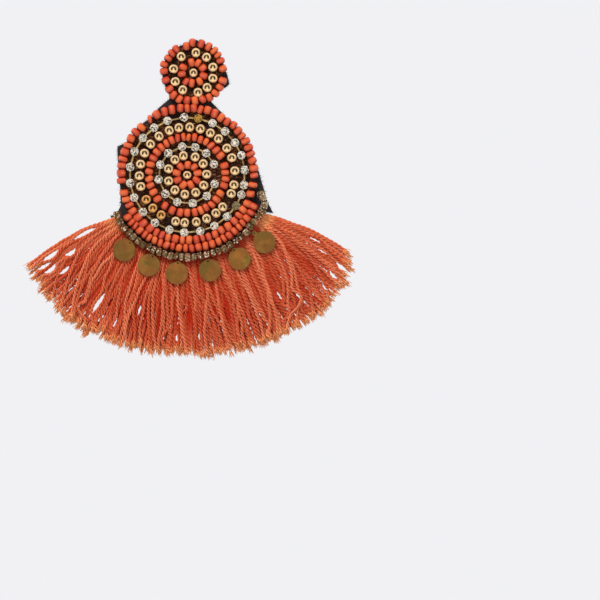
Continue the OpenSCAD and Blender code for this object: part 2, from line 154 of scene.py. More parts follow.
class Graph:
    """The nodes of one material or of the world."""

    def __init__(self, tree: bpy.types.NodeTree) -> None:
        """Starts with no nodes."""
        self.tree = tree
        tree.nodes.clear()

    def node(self, kind: str, settings: Mapping[str, object], sockets: Sockets) -> bpy.types.Node:
        """Adds a node.

        Args:
            kind: The node's type, as it goes on after ShaderNode.
            settings: Its settings. The stops of a ramp are pairs of place and colour.
            sockets: Values or links for its inputs, by name or number.

        Returns:
            The new node.
        """
        made = self.tree.nodes.new(f"ShaderNode{kind}")
        for name, setting in settings.items():
            if name != "stops":
                setattr(made, name, setting)
                continue
            elements = made.color_ramp.elements
            while len(elements) < len(setting):
                elements.new(1.0)
            for element, (place, colour) in zip(elements, setting):
                element.position = place
                element.color = colour
        for key, value in sockets.items():
            if isinstance(value, Sock):
                self.tree.links.new(value.socket, made.inputs[key])
            else:
                made.inputs[key].default_value = value
        return made

    def out(
        self, kind: str, settings: Mapping[str, object], sockets: Sockets, output: str | int = 0
    ) -> Sock:
        """Adds a node and gives one of its outputs."""
        return Sock(self, self.node(kind, settings, sockets).outputs[output])

    def outs(self, kind: str, sockets: Sockets, *outputs: str | int) -> list[Sock]:
        """Adds a node and gives several of its outputs."""
        made = self.node(kind, {}, sockets)
        return [Sock(self, made.outputs[output]) for output in outputs]

    def maths(self, operation: str, *values: Value) -> Sock:
        """A sum of numbers, by the Math node."""
        return self.out("Math", {"operation": operation}, dict(enumerate(values)))

    def vector(self, operation: str, *values: Value, output: str = "Vector") -> Sock:
        """A sum of vectors, by the Vector Math node."""
        return self.out("VectorMath", {"operation": operation}, dict(enumerate(values)), output)

    def mix(self, share: Value, first: Value, second: Value, blend: str = "MIX") -> Sock:
        """A blend of two colours."""
        settings = {"data_type": "RGBA", "blend_type": blend}
        return self.out("Mix", settings, {"Factor": share, 6: first, 7: second}, 2)

    def tint(self, colour: Value, strength: Value) -> Sock:
        """A colour made darker or lighter by a number."""
        grey = self.out("CombineColor", {}, dict.fromkeys(range(3), strength))
        return self.mix(1.0, colour, grey, "MULTIPLY")

    def ramp(self, share: Value, *stops: tuple[float, Colour]) -> Sock:
        """The colour that a ramp gives for a number."""
        return self.out("ValToRGB", {"stops": stops}, {"Fac": share}, "Color")

    def place(self) -> Sock:
        """The place on the object, in millimetres."""
        return self.vector("MULTIPLY", self.out("TexCoord", {}, {}, "Object"), (1 / MM,) * 3)

    def away(self, at: Sock, point: Vector) -> Sock:
        """How far a place is from a point, in millimetres."""
        return self.vector("DISTANCE", at, tuple(point / MM), output="Value")

    def outwards(self, at: Sock) -> Sock:
        """How far a place is towards the viewer, in millimetres."""
        return self.out("SeparateXYZ", {}, {0: at}, "Y") * -1

    def noise(self, at: Sock, scale: float, detail: float = 3.0, rough: float = 0.55) -> Sock:
        """Soft noise, with its scale in waves per millimetre."""
        sockets = {"Vector": at, "Scale": scale, "Detail": detail, "Roughness": rough}
        return self.out("TexNoise", {}, sockets, "Fac")

    def cells(self, at: Sock, scale: float) -> list[Sock]:
        """Two random numbers for each small cell, with their scale in cells per millimetre."""
        cell = self.out("TexVoronoi", {"feature": "F1"}, {"Vector": at, "Scale": scale}, "Color")
        return self.outs("SeparateColor", {0: cell}, 0, 1)

    def attribute(self, name: str) -> Sock:
        """A number that the mesh carries."""
        return self.out("Attribute", {"attribute_name": name}, {}, "Fac")

    def bump(self, height: Sock, depth_mm: float) -> Sock:
        """A bumped normal, with the height of the bumps in millimetres."""
        return self.out("Bump", {}, {"Height": height, "Distance": depth_mm * MM, "Strength": 1.0}, "Normal")


@dataclass(frozen=True)
class Finish:
    """A procedural finish."""

    name: str

    def surface(self, g: Graph, at: Sock) -> Sockets:
        """Draws the finish.

        Args:
            g: The material's nodes.
            at: The place on the object, in millimetres.

        Returns:
            The inputs of the surface shader.
        """
        raise NotImplementedError

    def material(self) -> bpy.types.Material:
        """Makes the material."""
        made = bpy.data.materials.new(self.name)
        made.use_nodes = True
        g = Graph(made.node_tree)
        shader = g.out("BsdfPrincipled", {}, self.surface(g, g.place()), "BSDF")
        g.node("OutputMaterial", {}, {"Surface": shader})
        return made


@dataclass(frozen=True)
class CoralGlass(Finish):
    """Coral seed beads, each a little redder or more orange than the next, with a painted highlight across
    the middle and painted shade of deep red at the ends and sides.
    """

    red: Colour = srgb(190, 54, 26)
    coral: Colour = srgb(208, 76, 32)
    orange: Colour = srgb(222, 100, 40)
    painted_highlight: Colour = srgb(228, 138, 102)
    deep: Colour = srgb(134, 18, 4)

    def surface(self, g: Graph, at: Sock) -> Sockets:
        """Glossy glass with faint mottling."""
        tone = g.attribute("tone") + (g.noise(at, 1.4) - 0.5) * 0.3
        colour = g.ramp(tone, (0.05, self.red), (0.5, self.coral), (0.95, self.orange))
        end = g.attribute("end")
        # Painted highlight: a pale, mottled band across the middle of each bead.
        painted_highlight_share = 0.12 + g.noise(at, 1.1).above(0.4, 0.65) * 0.32
        colour = g.mix((1 - end.above(0.1, 0.6)) * painted_highlight_share, colour, self.painted_highlight)
        # Painted shade: deep red towards each bead's ends, where it meets the next.
        colour = g.mix(end.above(0.55, 0.98) * 0.9, colour, self.deep)
        # Painted shade: deep red on the sides that turn away from the front.
        side = 1 - g.attribute("front").above(0.05, 0.6)
        colour = g.mix(side * 0.55, colour, self.deep)
        dust = g.noise(at, 6.0)
        return {
            "Base Color": g.tint(colour, 0.9 + dust * 0.2),
            "Roughness": 0.36 + dust * 0.24,
            "Normal": g.bump(g.noise(at, 3.2), 0.015),
            "Coat Weight": 0.2,
            "Coat Roughness": 0.3,
        }


@dataclass(frozen=True)
class BronzeGlass(Finish):
    """Metal-coated seed beads, from greenish bronze to purple-brown."""

    dark: Colour = srgb(84, 54, 34)
    bronze: Colour = srgb(112, 86, 48)
    light: Colour = srgb(146, 122, 78)
    pale: Colour = srgb(196, 170, 136)
    painted_glint: Colour = srgb(238, 208, 184)

    def surface(self, g: Graph, at: Sock) -> Sockets:
        """A dull mirror with rubbed and dark beads, and painted glints in a few pale cells."""
        stops = ((0.0, self.dark), (0.25, self.bronze), (0.65, self.light), (1.0, self.pale))
        colour = g.ramp(g.attribute("tone"), *stops)
        fleck = g.cells(at, 2.4)[0]
        # Painted glints: a few cells take a pale colour and a smoother gloss.
        painted_glint = fleck.above(0.76, 0.84)
        return {
            "Base Color": g.mix(painted_glint, g.tint(colour, 0.4 + fleck * 0.9), self.painted_glint),
            "Metallic": 0.7,
            "Roughness": 0.34 - painted_glint * 0.12,
            "Normal": g.bump(fleck, 0.09),
        }


@dataclass(frozen=True)
class GoldPlate(Finish):
    """Gold plate on the balls, polished in front and rubbed to a satin where they touch others."""

    colour: Colour = srgb(255, 224, 172)
    worn: Colour = srgb(236, 168, 84)
    satin: Colour = srgb(255, 225, 176)
    painted_edge_shade: Colour = srgb(178, 104, 42)

    def surface(self, g: Graph, at: Sock) -> Sockets:
        """A slightly uneven mirror, with painted shade where a ball turns away from the front."""
        front = g.attribute("front")
        rubbed = 1 - front.above(0.56, 0.76)
        wear = (g.noise(at, 1.3) * 0.6 + g.attribute("tone") * 0.6).above(0.62, 0.95)
        satin = g.mix(wear * 0.7, self.satin, self.worn)
        colour = g.mix(rubbed, g.mix(wear, self.colour, self.worn), satin)
        return {
            # Painted shade: darker orange-brown where a ball turns away from the front.
            "Base Color": g.mix((1 - front.above(0.02, 0.46)) * 0.85, colour, self.painted_edge_shade),
            "Metallic": 0.95 - rubbed * 0.65,
            "Roughness": 0.05 + rubbed * 0.25 + g.noise(at, 4.0) * 0.06,
            "Normal": g.bump(g.noise(at, 1.0), 0.002),
        }


@dataclass(frozen=True)
class CupGold(Finish):
    """Plated cup chain, with the bare cups bright yellow or dull."""

    bright_cup: Vector = Vector()
    dull_cup: Vector = Vector()
    cup_reach: float = 1.4
    prongs_from: float = 3.3

    def surface(self, g: Graph, at: Sock) -> Sockets:
        """Pale gold bars, prongs patched grey and white as painted sparkle like the stones', and two cups
        that have lost theirs.
        """
        colour = g.mix(g.noise(at, 1.2).above(0.4, 0.75), srgb(252, 224, 160), srgb(214, 176, 106))
        colour = g.mix(g.noise(at, 0.12).above(0.46, 0.6) * 0.5, colour, srgb(104, 88, 56))
        # Painted sparkle: grey and white patches on the prongs, as on the stones.
        prongs = g.mix(g.noise(at, 3.5).above(0.34, 0.5), srgb(150, 146, 138), srgb(255, 254, 248))
        high = g.outwards(at).above(self.prongs_from - 0.2, self.prongs_from)
        colour = g.mix(high, colour, prongs)
        for cup, shade in ((self.bright_cup, srgb(250, 200, 96)), (self.dull_cup, srgb(200, 180, 136))):
            beyond = g.away(at, cup).above(self.cup_reach - 0.1, self.cup_reach)
            spotted = g.mix(g.noise(at, 1.9).above(0.4, 0.58), g.tint(shade, 0.36), shade)
            colour = g.mix(1 - beyond, colour, spotted)
        return {
            "Base Color": colour,
            "Metallic": 0.7,
            "Roughness": 0.3 + g.noise(at, 5.0) * 0.2,
            "Normal": g.bump(g.noise(at, 2.4), 0.06),
        }


@dataclass(frozen=True)
class CutStone(Finish):
    """Foiled clear stones, painted white with grey flecks as painted sparkle, and the pale prongs that hold
    them.
    """

    dark: Colour = srgb(48, 42, 36)
    grey: Colour = srgb(116, 108, 96)
    light: Colour = srgb(218, 216, 208)
    white: Colour = srgb(255, 255, 255)
    prong: Colour = srgb(244, 236, 212)

    def surface(self, g: Graph, at: Sock) -> Sockets:
        """Small facets, each painted its own light or dark and faintly tinted, as painted sparkle and
        reflections.
        """
        # Painted reflections: each cell takes a colour from dark to white, tinted warm, green or pink.
        fleck, hue = g.cells(at, 3.1)
        grey = g.ramp(fleck, (0.0, self.dark), (0.24, self.grey), (0.38, self.light), (0.8, self.white))
        tints = (srgb(250, 230, 194), srgb(238, 238, 222), srgb(250, 242, 230), srgb(250, 226, 220))
        tint = g.ramp(hue, *zip((0.0, 0.3, 0.6, 1.0), tints))
        prong = g.attribute("tone").above(1.4, 1.6)
        return {
            "Base Color": g.mix(prong, g.vector("MULTIPLY", grey, tint), self.prong),
            "Metallic": 0.25,
            "Roughness": 0.15 + fleck * 0.15,
            "Normal": g.bump(fleck, 0.12),
            "Coat Weight": 0.6,
            "Coat Roughness": 0.05,
        }


@dataclass(frozen=True)
class AntiqueBrass(Finish):
    """A flat stamped disc of dull brass, mottled brown and green, darker at its edge."""

    middle: Vector = Vector()
    radius_mm: float = 3.2
    green_share: float = 0.5
    light: float = 1.0

    def surface(self, g: Graph, at: Sock) -> Sockets:
        """Patches of age on brushed brass."""
        patches = g.noise(at, 0.34, 4.0, 0.6)
        brown = g.mix(patches.above(0.35, 0.7), srgb(126, 80, 30), srgb(152, 96, 38))
        green = g.mix(patches.above(0.4, 0.65), srgb(112, 84, 28), srgb(138, 104, 38))
        colour = g.mix(g.noise(at, 0.2).above(0.35, 0.65) * self.green_share * 2, brown, green)
        edge = g.away(at, self.middle).above(self.radius_mm - 0.5, self.radius_mm - 0.1)
        colour = g.mix(edge * 0.35, colour, srgb(112, 88, 44))
        specks = g.noise(at, 7.0).above(0.45, 0.75)
        return {
            "Base Color": g.tint(colour, (1.05 - specks * 0.2) * self.light),
            "Metallic": 0.4,
            "Roughness": 0.46 + specks * 0.2,
            "Normal": g.bump(g.noise(at, 2.4, 5.0), 0.03),
        }


@dataclass(frozen=True)
class Felt(Finish):
    """Black pressed felt, browned among the beads by thread and by the light that they throw on it."""

    discs: tuple[tuple[Vector, float], ...] = ()

    def surface(self, g: Graph, at: Sock) -> Sockets:
        """Matted fibres with a soft sheen."""
        among: Value = 0.0
        for middle, radius in self.discs:
            beyond = g.away(at, middle).above(radius / MM - 1.0, radius / MM)
            among = g.maths("MAXIMUM", 1 - beyond, among)
        fibres = g.noise(at, 2.6, 6.0, 0.75)
        lint = g.noise(at, 0.7).above(0.55, 0.8)
        black = g.mix(fibres.above(0.35, 0.75) + lint * 0.2, srgb(28, 22, 23), srgb(66, 56, 56))
        threads = g.noise(g.vector("MULTIPLY", at, (1.0, 0.3, 1.8)), 1.3, 3.0, 0.6)
        brown = g.mix(threads.above(0.5, 0.64), srgb(62, 25, 12), srgb(172, 112, 58))
        brown = g.mix(g.noise(at, 0.32, 2.0).above(0.46, 0.6) * 0.85, brown, srgb(34, 20, 17))
        return {
            "Base Color": g.mix(among * g.outwards(at).above(1.2, 1.8), black, brown),
            "Roughness": 0.95,
            "Specular IOR Level": 0.15,
            "Sheen Weight": 0.12,
            "Sheen Roughness": 0.6,
            "Normal": g.bump(fibres, 0.25),
        }


@dataclass(frozen=True)
class Thread(Finish):
    """Fine sewing thread."""

    colour: Colour = srgb(30, 24, 24)

    def surface(self, g: Graph, at: Sock) -> Sockets:
        """Twisted thread with a low shine."""
        twist = g.noise(at, 7.0)
        colour = g.tint(self.colour, 0.7 + twist * 0.6)
        return {"Base Color": colour, "Roughness": 0.7, "Normal": g.bump(twist, 0.03)}


@dataclass(frozen=True)
class Yarn(Finish):
    """Coral two-ply cotton yarn, with painted shade of deep red in the grooves between plies and in the fan's
    depths, and paler at its cut ends.
    """

    lit: Colour = srgb(226, 128, 90)
    warm: Colour = srgb(198, 82, 46)
    # deep: the red of the painted shade.
    deep: Colour = srgb(176, 28, 2)
    pale: Colour = srgb(252, 172, 110)

    def surface(self, g: Graph, at: Sock) -> Sockets:
        """Soft spun fibres."""
        hairs = g.noise(at, 5.5, 4.0, 0.7)
        tone = g.attribute("tone") + (g.noise(at, 0.8) - 0.5) * 0.5
        colour = g.mix(tone, self.warm, self.lit)
        # Painted shade: deep red in the grooves between the two plies.
        groove = 1 - g.attribute("crest").above(0.1, 0.46)
        colour = g.mix(groove * (0.42 + g.noise(at, 0.6).above(0.35, 0.65) * 0.4), colour, self.deep)
        # Painted shade: deep red on strands deep in the fan, except where they face away from the front.
        colour = g.mix(g.attribute("depth") * g.attribute("front").above(-0.6, 0.1), colour, self.deep)
        colour = g.mix(g.attribute("pale"), colour, self.pale)
        return {
            "Base Color": g.tint(colour, 0.78 + hairs * 0.44),
            "Roughness": 0.85,
            "Specular IOR Level": 0.1,
            "Sheen Weight": 0.03,
            "Sheen Roughness": 0.5,
            "Normal": g.bump(hairs, 0.06),
        }


@dataclass(frozen=True)
class Steel(Finish):
    """The satin steel of the ear post and its pad."""

    def surface(self, g: Graph, at: Sock) -> Sockets:
        """Brushed round the post."""
        scratches = g.noise(g.vector("MULTIPLY", at, (3.0, 0.4, 3.0)), 2.0, 4.0)
        return {
            "Base Color": g.mix(scratches, srgb(168, 166, 160), srgb(206, 204, 198)),
            "Metallic": 1.0,
            "Roughness": 0.25 + scratches * 0.2,
            "Normal": g.bump(scratches, 0.01),
        }


@dataclass(frozen=True)
class Paper(Finish):
    """The pale floor, which looks as light as the backdrop under the lamps."""

    def surface(self, g: Graph, at: Sock) -> Sockets:
        """Matte card."""
        colour = g.mix(g.noise(at, 0.3), srgb(194, 194, 197), srgb(200, 200, 203))
        return {"Base Color": colour, "Roughness": 0.9}


def add_object(name: str, data: bpy.types.ID) -> bpy.types.Object:
    """Adds an object to the scene.

    Args:
        name: Its name.
        data: Its mesh, lamp or camera.

    Returns:
        The object.
    """
    made = bpy.data.objects.new(name, data)
    bpy.context.scene.collection.objects.link(made)
    return made


def place_piece(
    name: str, mesh: bpy.types.Mesh, material: bpy.types.Material, slot: Slot, *replaces: str
) -> bpy.types.Object:
    """Adds a finished mesh to the earring.

    Args:
        name: The piece's name.
        mesh: Its mesh, in place.
        material: Its material.
        slot: The record's slot that the piece stands for; not used.
        replaces: The CAD nodes that it stands for.

    Returns:
        The new object.
    """
    mesh.name = name
    mesh.materials.append(material)
    piece = add_object(name, mesh)
    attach(piece, BODY)
    if replaces:
        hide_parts(*replaces)
    log.info("%s: %d faces", name, len(mesh.polygons))
    return piece


def mesh_of(bm: bmesh.types.BMesh, smooth: bool = False) -> bpy.types.Mesh:
    """Turns a bmesh into a mesh and frees it.

    Args:
        bm: The bmesh.
        smooth: Whether its faces shade smoothly.

    Returns:
        The mesh.
    """
    mesh = bpy.data.meshes.new("mesh")
    bm.to_mesh(mesh)
    bm.free()
    if smooth:
        mesh.shade_smooth()
    else:
        mesh.shade_flat()
    return mesh


def set_numbers(mesh: bpy.types.Mesh, numbers: Numbers) -> None:
    """Gives each point of a mesh numbers for its material, and how far it faces the front.

    Args:
        mesh: The mesh.
        numbers: For each name, a number at each point.
    """
    facing = [v.normal.dot(TOWARDS_VIEWER) for v in mesh.vertices]
    for name, values in {**numbers, "front": facing}.items():
        mesh.attributes.new(name, "FLOAT", "POINT").data.foreach_set("value", values)


def merged(node: bpy.types.Object) -> bmesh.types.BMesh:
    """Copies a CAD node's mesh with its doubles merged.

    Args:
        node: The node's object, which isn't changed.

    Returns:
        The bmesh.
    """
    bm = bmesh.new()
    bm.from_mesh(node.data)
    bmesh.ops.remove_doubles(bm, verts=bm.verts, dist=0.002 * MM)
    return bm


def islands(node: bpy.types.Object) -> list[tuple[Vector, float]]:
    """Finds the loose solids of a CAD node.

    Args:
        node: The CAD node's object.

    Returns:
        The middle and the largest size of each solid.
    """
    bm = merged(node)
    seen: set[bmesh.types.BMVert] = set()
    found = []
    for vert in bm.verts:
        if vert in seen:
            continue
        group, todo = [], [vert]
        seen.add(vert)
        while todo:
            here = todo.pop()
            group.append(here.co)
            fresh = {edge.other_vert(here) for edge in here.link_edges} - seen
            seen |= fresh
            todo += fresh
        low = Vector(min(p[k] for p in group) for k in range(3))
        high = Vector(max(p[k] for p in group) for k in range(3))
        found.append(((low + high) / 2, max(high - low)))
    bm.free()
    return found


def lathe(outline: Sequence[tuple[float, float]], steps: int) -> bpy.types.Mesh:
    """Turns a closed outline round the X axis.

    Args:
        outline: Points of the outline, as place along X and distance from it.
        steps: Sides of the turned form.

    Returns:
        A closed mesh.
    """
    bm = bmesh.new()
    rim = [bm.verts.new((x, r, 0.0)) for x, r in outline]
    edges = [bm.edges.new(pair) for pair in zip(rim, rim[1:] + rim[:1])]
    bmesh.ops.spin(
        bm, geom=rim + edges, cent=(0, 0, 0), axis=(1, 0, 0), angle=math.tau, steps=steps, use_merge=True
    )
    bmesh.ops.recalc_face_normals(bm, faces=bm.faces)
    return mesh_of(bm)


class Heap:
    """Many copies of small patterns in one mesh."""

    def __init__(self) -> None:
        """Starts empty."""
        self.bm = bmesh.new()
        self.tones: list[float] = []
        self.ends: list[float] = []

    def add(self, pattern: bpy.types.Mesh, place: Matrix, tone: float) -> None:
        """Adds a copy.

        Args:
            pattern: The mesh to copy.
            place: Where the copy goes, and its size.
            tone: The number that the copy's material reads.
        """
        before = len(self.bm.verts)
        self.bm.from_mesh(pattern)
        self.bm.verts.ensure_lookup_table()
        fresh = self.bm.verts[before:]
        self.ends += [abs(v.co.x) * 2 for v in fresh]
        bmesh.ops.transform(self.bm, matrix=place, verts=fresh)
        self.tones += [tone] * len(fresh)

    def finish(self, smooth: bool) -> bpy.types.Mesh:
        """Gives the finished mesh.

        Args:
            smooth: Whether its faces shade smoothly.

        Returns:
            The mesh. Its points carry their tone and how near their pattern's end they are.
        """
        mesh = mesh_of(self.bm, smooth)
        set_numbers(mesh, {"tone": self.tones, "end": self.ends})
        return mesh


class Strands:
    """Thin round strands with numbers along them, drawn as curves and kept as one mesh."""

    def __init__(self, sides: int) -> None:
        """Starts empty.

        Args:
            sides: Sides of a strand, 4 or an even number above it.
        """
        self.sides = sides
        self.shortest = 0.03 * MM
        self.curve = bpy.data.curves.new("strands", "CURVE")
        self.curve.dimensions = "3D"
        self.curve.resolution_u = 1
        self.curve.bevel_depth = MM
        self.curve.bevel_resolution = (sides - 4) // 2
        self.numbers: dict[str, list[float]] = defaultdict(list)
        self.cores: list[Vector] = []

    def add(
        self,
        points: Sequence[Vector],
        radii_mm: Sequence[float],
        numbers: Numbers | None = None,
        core: Sequence[Vector] | None = None,
    ) -> None:
        """Adds a strand, unless two of its points nearly meet, because a curve merges such points.

        Args:
            points: Its points.
            radii_mm: Its radius at each point, in millimetres.
            numbers: For each name, a number at each point.
            core: The line that the strand twists round, where it isn't its own.
        """
        if min((b - a).length for a, b in zip(points, points[1:])) < self.shortest:
            return
        spline = self.curve.splines.new("POLY")
        spline.points.add(len(points) - 1)
        spline.points.foreach_set("co", [v for p in points for v in (*p, 1.0)])
        spline.points.foreach_set("radius", radii_mm)
        for name, values in (numbers or {}).items():
            self.numbers[name] += [v for v in values for _ in range(self.sides)]
        self.cores += [c for c in core or points for _ in range(self.sides)]

    def finish(self) -> bpy.types.Mesh:
        """Gives the finished mesh.

        Returns:
            The mesh. Its points also carry how far they stand out from the core.
        """
        bm = bmesh.new()
        bm.from_mesh(bpy.data.meshes.new_from_object(bpy.data.objects.new("strands", self.curve)))
        bpy.data.curves.remove(self.curve)
        bmesh.ops.holes_fill(bm, edges=bm.edges, sides=self.sides)
        mesh = mesh_of(bm, smooth=True)
        crest = [(v.co - c).length / MM for v, c in zip(mesh.vertices, self.cores)]
        set_numbers(mesh, {**self.numbers, "crest": crest})
        return mesh


@dataclass(frozen=True)
class Disc:
    """One of the two round fields of beads, seen from the front."""

    x: float
    z: float
    face_y: float

    def frame(self, clock: float, radius: float, height: float) -> Matrix:
        """The axes at a place on the disc: X along the row clockwise, Y outwards, Z to the viewer.

        Args:
            clock: Degrees clockwise from the top.
            radius: Distance from the disc's centre.
            height: Height above the felt.

        Returns:
            The matrix of those axes at that place.
        """
        a = math.radians(clock)
        along, outwards = Vector((math.cos(a), 0, -math.sin(a))), Vector((math.sin(a), 0, math.cos(a)))
        middle = Vector((self.x, self.face_y, self.z)) + radius * outwards + height * TOWARDS_VIEWER
        turned = Matrix((along, outwards, TOWARDS_VIEWER)).transposed().to_4x4()
        return Matrix.Translation(middle) @ turned

    def spot(self, clock: float, radius: float, height: float) -> Vector:
        """The place alone."""
        return self.frame(clock, radius, height).translation


@dataclass(frozen=True)
class Sweep:
    """A stretch of a row round a point, or a full ring round the disc."""

    radius: float
    start: float = 0
    end: float = 360
    centre: tuple[float, float] = (0, 0)

    def length(self) -> float:
        """The stretch's length."""
        return self.radius * math.radians(abs(self.end - self.start))

    def frame(self, disc: Disc, along: float, height: float) -> Matrix:
        """The axes at a place on the stretch, X in the direction of the clock.

        Args:
            disc: The disc that the row lies on.
            along: Distance along the stretch.
            height: Height above the felt.

        Returns:
            The matrix of those axes at that place.
        """
        clock = self.start + (self.end - self.start) * along / self.length()
        across = Disc(disc.x + self.centre[0], disc.z + self.centre[1], disc.face_y)
        return across.frame(clock, self.radius, height)


@dataclass(frozen=True)
class Bead:
    """A seed bead's place along its row, its length and how far it sits outwards."""

    along: float
    length: float
    shift: float = 0.0


def evenly(
    length: float, pitch: float, seed: int, gaps: Sequence[tuple[float, float]] = (), fill: float = 0.97
) -> list[Bead]:
    """Strings uneven beads along a row.

    Args:
        length: The row's length.
        pitch: The usual distance between two beads.
        seed: Seed of the unevenness.
        gaps: Gaps in a ring, each as its middle and its width. A row without them is open.
        fill: The share of its room that each bead fills.

    Returns:
        The beads.
    """
    rng = random.Random(seed)
    edges = [e for middle, width in sorted(gaps) for e in (middle - width / 2, middle + width / 2)]
    runs = zip(edges[1::2], edges[2::2] + [edges[0] + length]) if edges else [(0.0, length)]
    beads = []
    for at, end in runs:
        count = max(1, round((end - at) / pitch))
        sizes = [rng.uniform(0.8, 1.2) for _ in range(count)]
        scale = (end - at) / sum(sizes)
        for size in sizes:
            beads.append(Bead((at + size * scale / 2) % length, size * scale * fill))
            at += size * scale
    return beads


def by_hand(
    clocks: Sequence[float], radius: float, shifts_mm: Mapping[int, float], longest: float
) -> list[Bead]:
    """Strings beads at chosen places on a ring.

    Args:
        clocks: Places in degrees clockwise from the top, in order.
        radius: The ring's radius.
        shifts_mm: How far some beads sit outwards, by number, in millimetres.
        longest: The greatest length of a bead.

    Returns:
        The beads.
    """
    beads = []
    for i, clock in enumerate(clocks):
        to_next = (clocks[(i + 1) % len(clocks)] - clock) % 360
        to_last = (clock - clocks[i - 1]) % 360
        room = radius * math.radians(min(to_next, to_last) * 0.75 + max(to_next, to_last) * 0.25)
        shift = shifts_mm.get(i, 0.0) * MM
        beads.append(Bead(radius * math.radians(clock), min(room * 0.98, longest), shift))
    return beads


@dataclass
class SeedRow:
    """A row of seed beads that stands for a round bar of the same diameter."""

    name: str
    node: str
    disc: Disc
    sweeps: Sequence[Sweep]
    beads: Sequence[Bead]
    patterns: Sequence[bpy.types.Mesh]
    seed: int
    slot: Slot = Slot.CORAL
    off_centre: tuple[float, float] = (0.0, 0.0)
    widths: tuple[float, float] = (1.15, 1.3)
    loose: float = 1.7

    def __post_init__(self) -> None:
        """Reads the bar's diameter, and the height of its middle above the felt."""
        low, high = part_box(self.node)
        self.diameter: float = high.y - low.y
        self.height: float = self.disc.face_y - (low.y + high.y) / 2

    def frame(self, along: float) -> Matrix:
        """The axes at a place on the row.

        Args:
            along: Distance along the row.

        Returns:
            The matrix of those axes at that place.
        """
        for sweep in self.sweeps:
            if along <= sweep.length() or sweep is self.sweeps[-1]:
                return sweep.frame(self.disc, along, self.height)
            along -= sweep.length()
        raise ValueError(self.name)

    def build(self, material: bpy.types.Material, smooth: bool) -> None:
        """Strings the beads, each a little different from the next.

        Args:
            material: The beads' material.
            smooth: Whether the beads are round rather than cut.
        """
        rng = random.Random(self.seed)
        heap = Heap()
        aside = Matrix.Translation((self.off_centre[0] * MM, 0, self.off_centre[1] * MM))
        for bead in self.beads:
            wide, deep = rng.uniform(*self.widths), rng.uniform(0.97, 1.04)
            size = Matrix.Diagonal((bead.length, self.diameter * wide, self.diameter * deep, 1.0))
            lean = Matrix.Rotation(math.radians(rng.gauss(0, 5 * self.loose)), 4, "Z")
            roll = Matrix.Rotation(rng.uniform(0, math.tau), 4, "X")
            aslant = bead.shift + rng.gauss(0, 0.05 * self.loose) * MM
            shift = Matrix.Translation((0, aslant, rng.uniform(-0.06, 0.04) * MM))
            place = aside @ self.frame(bead.along) @ shift @ lean @ size @ roll
            heap.add(rng.choice(self.patterns), place, clamp(rng.gauss(0.5, 0.24)))
        place_piece(self.name, heap.finish(smooth), material, self.slot, self.node)


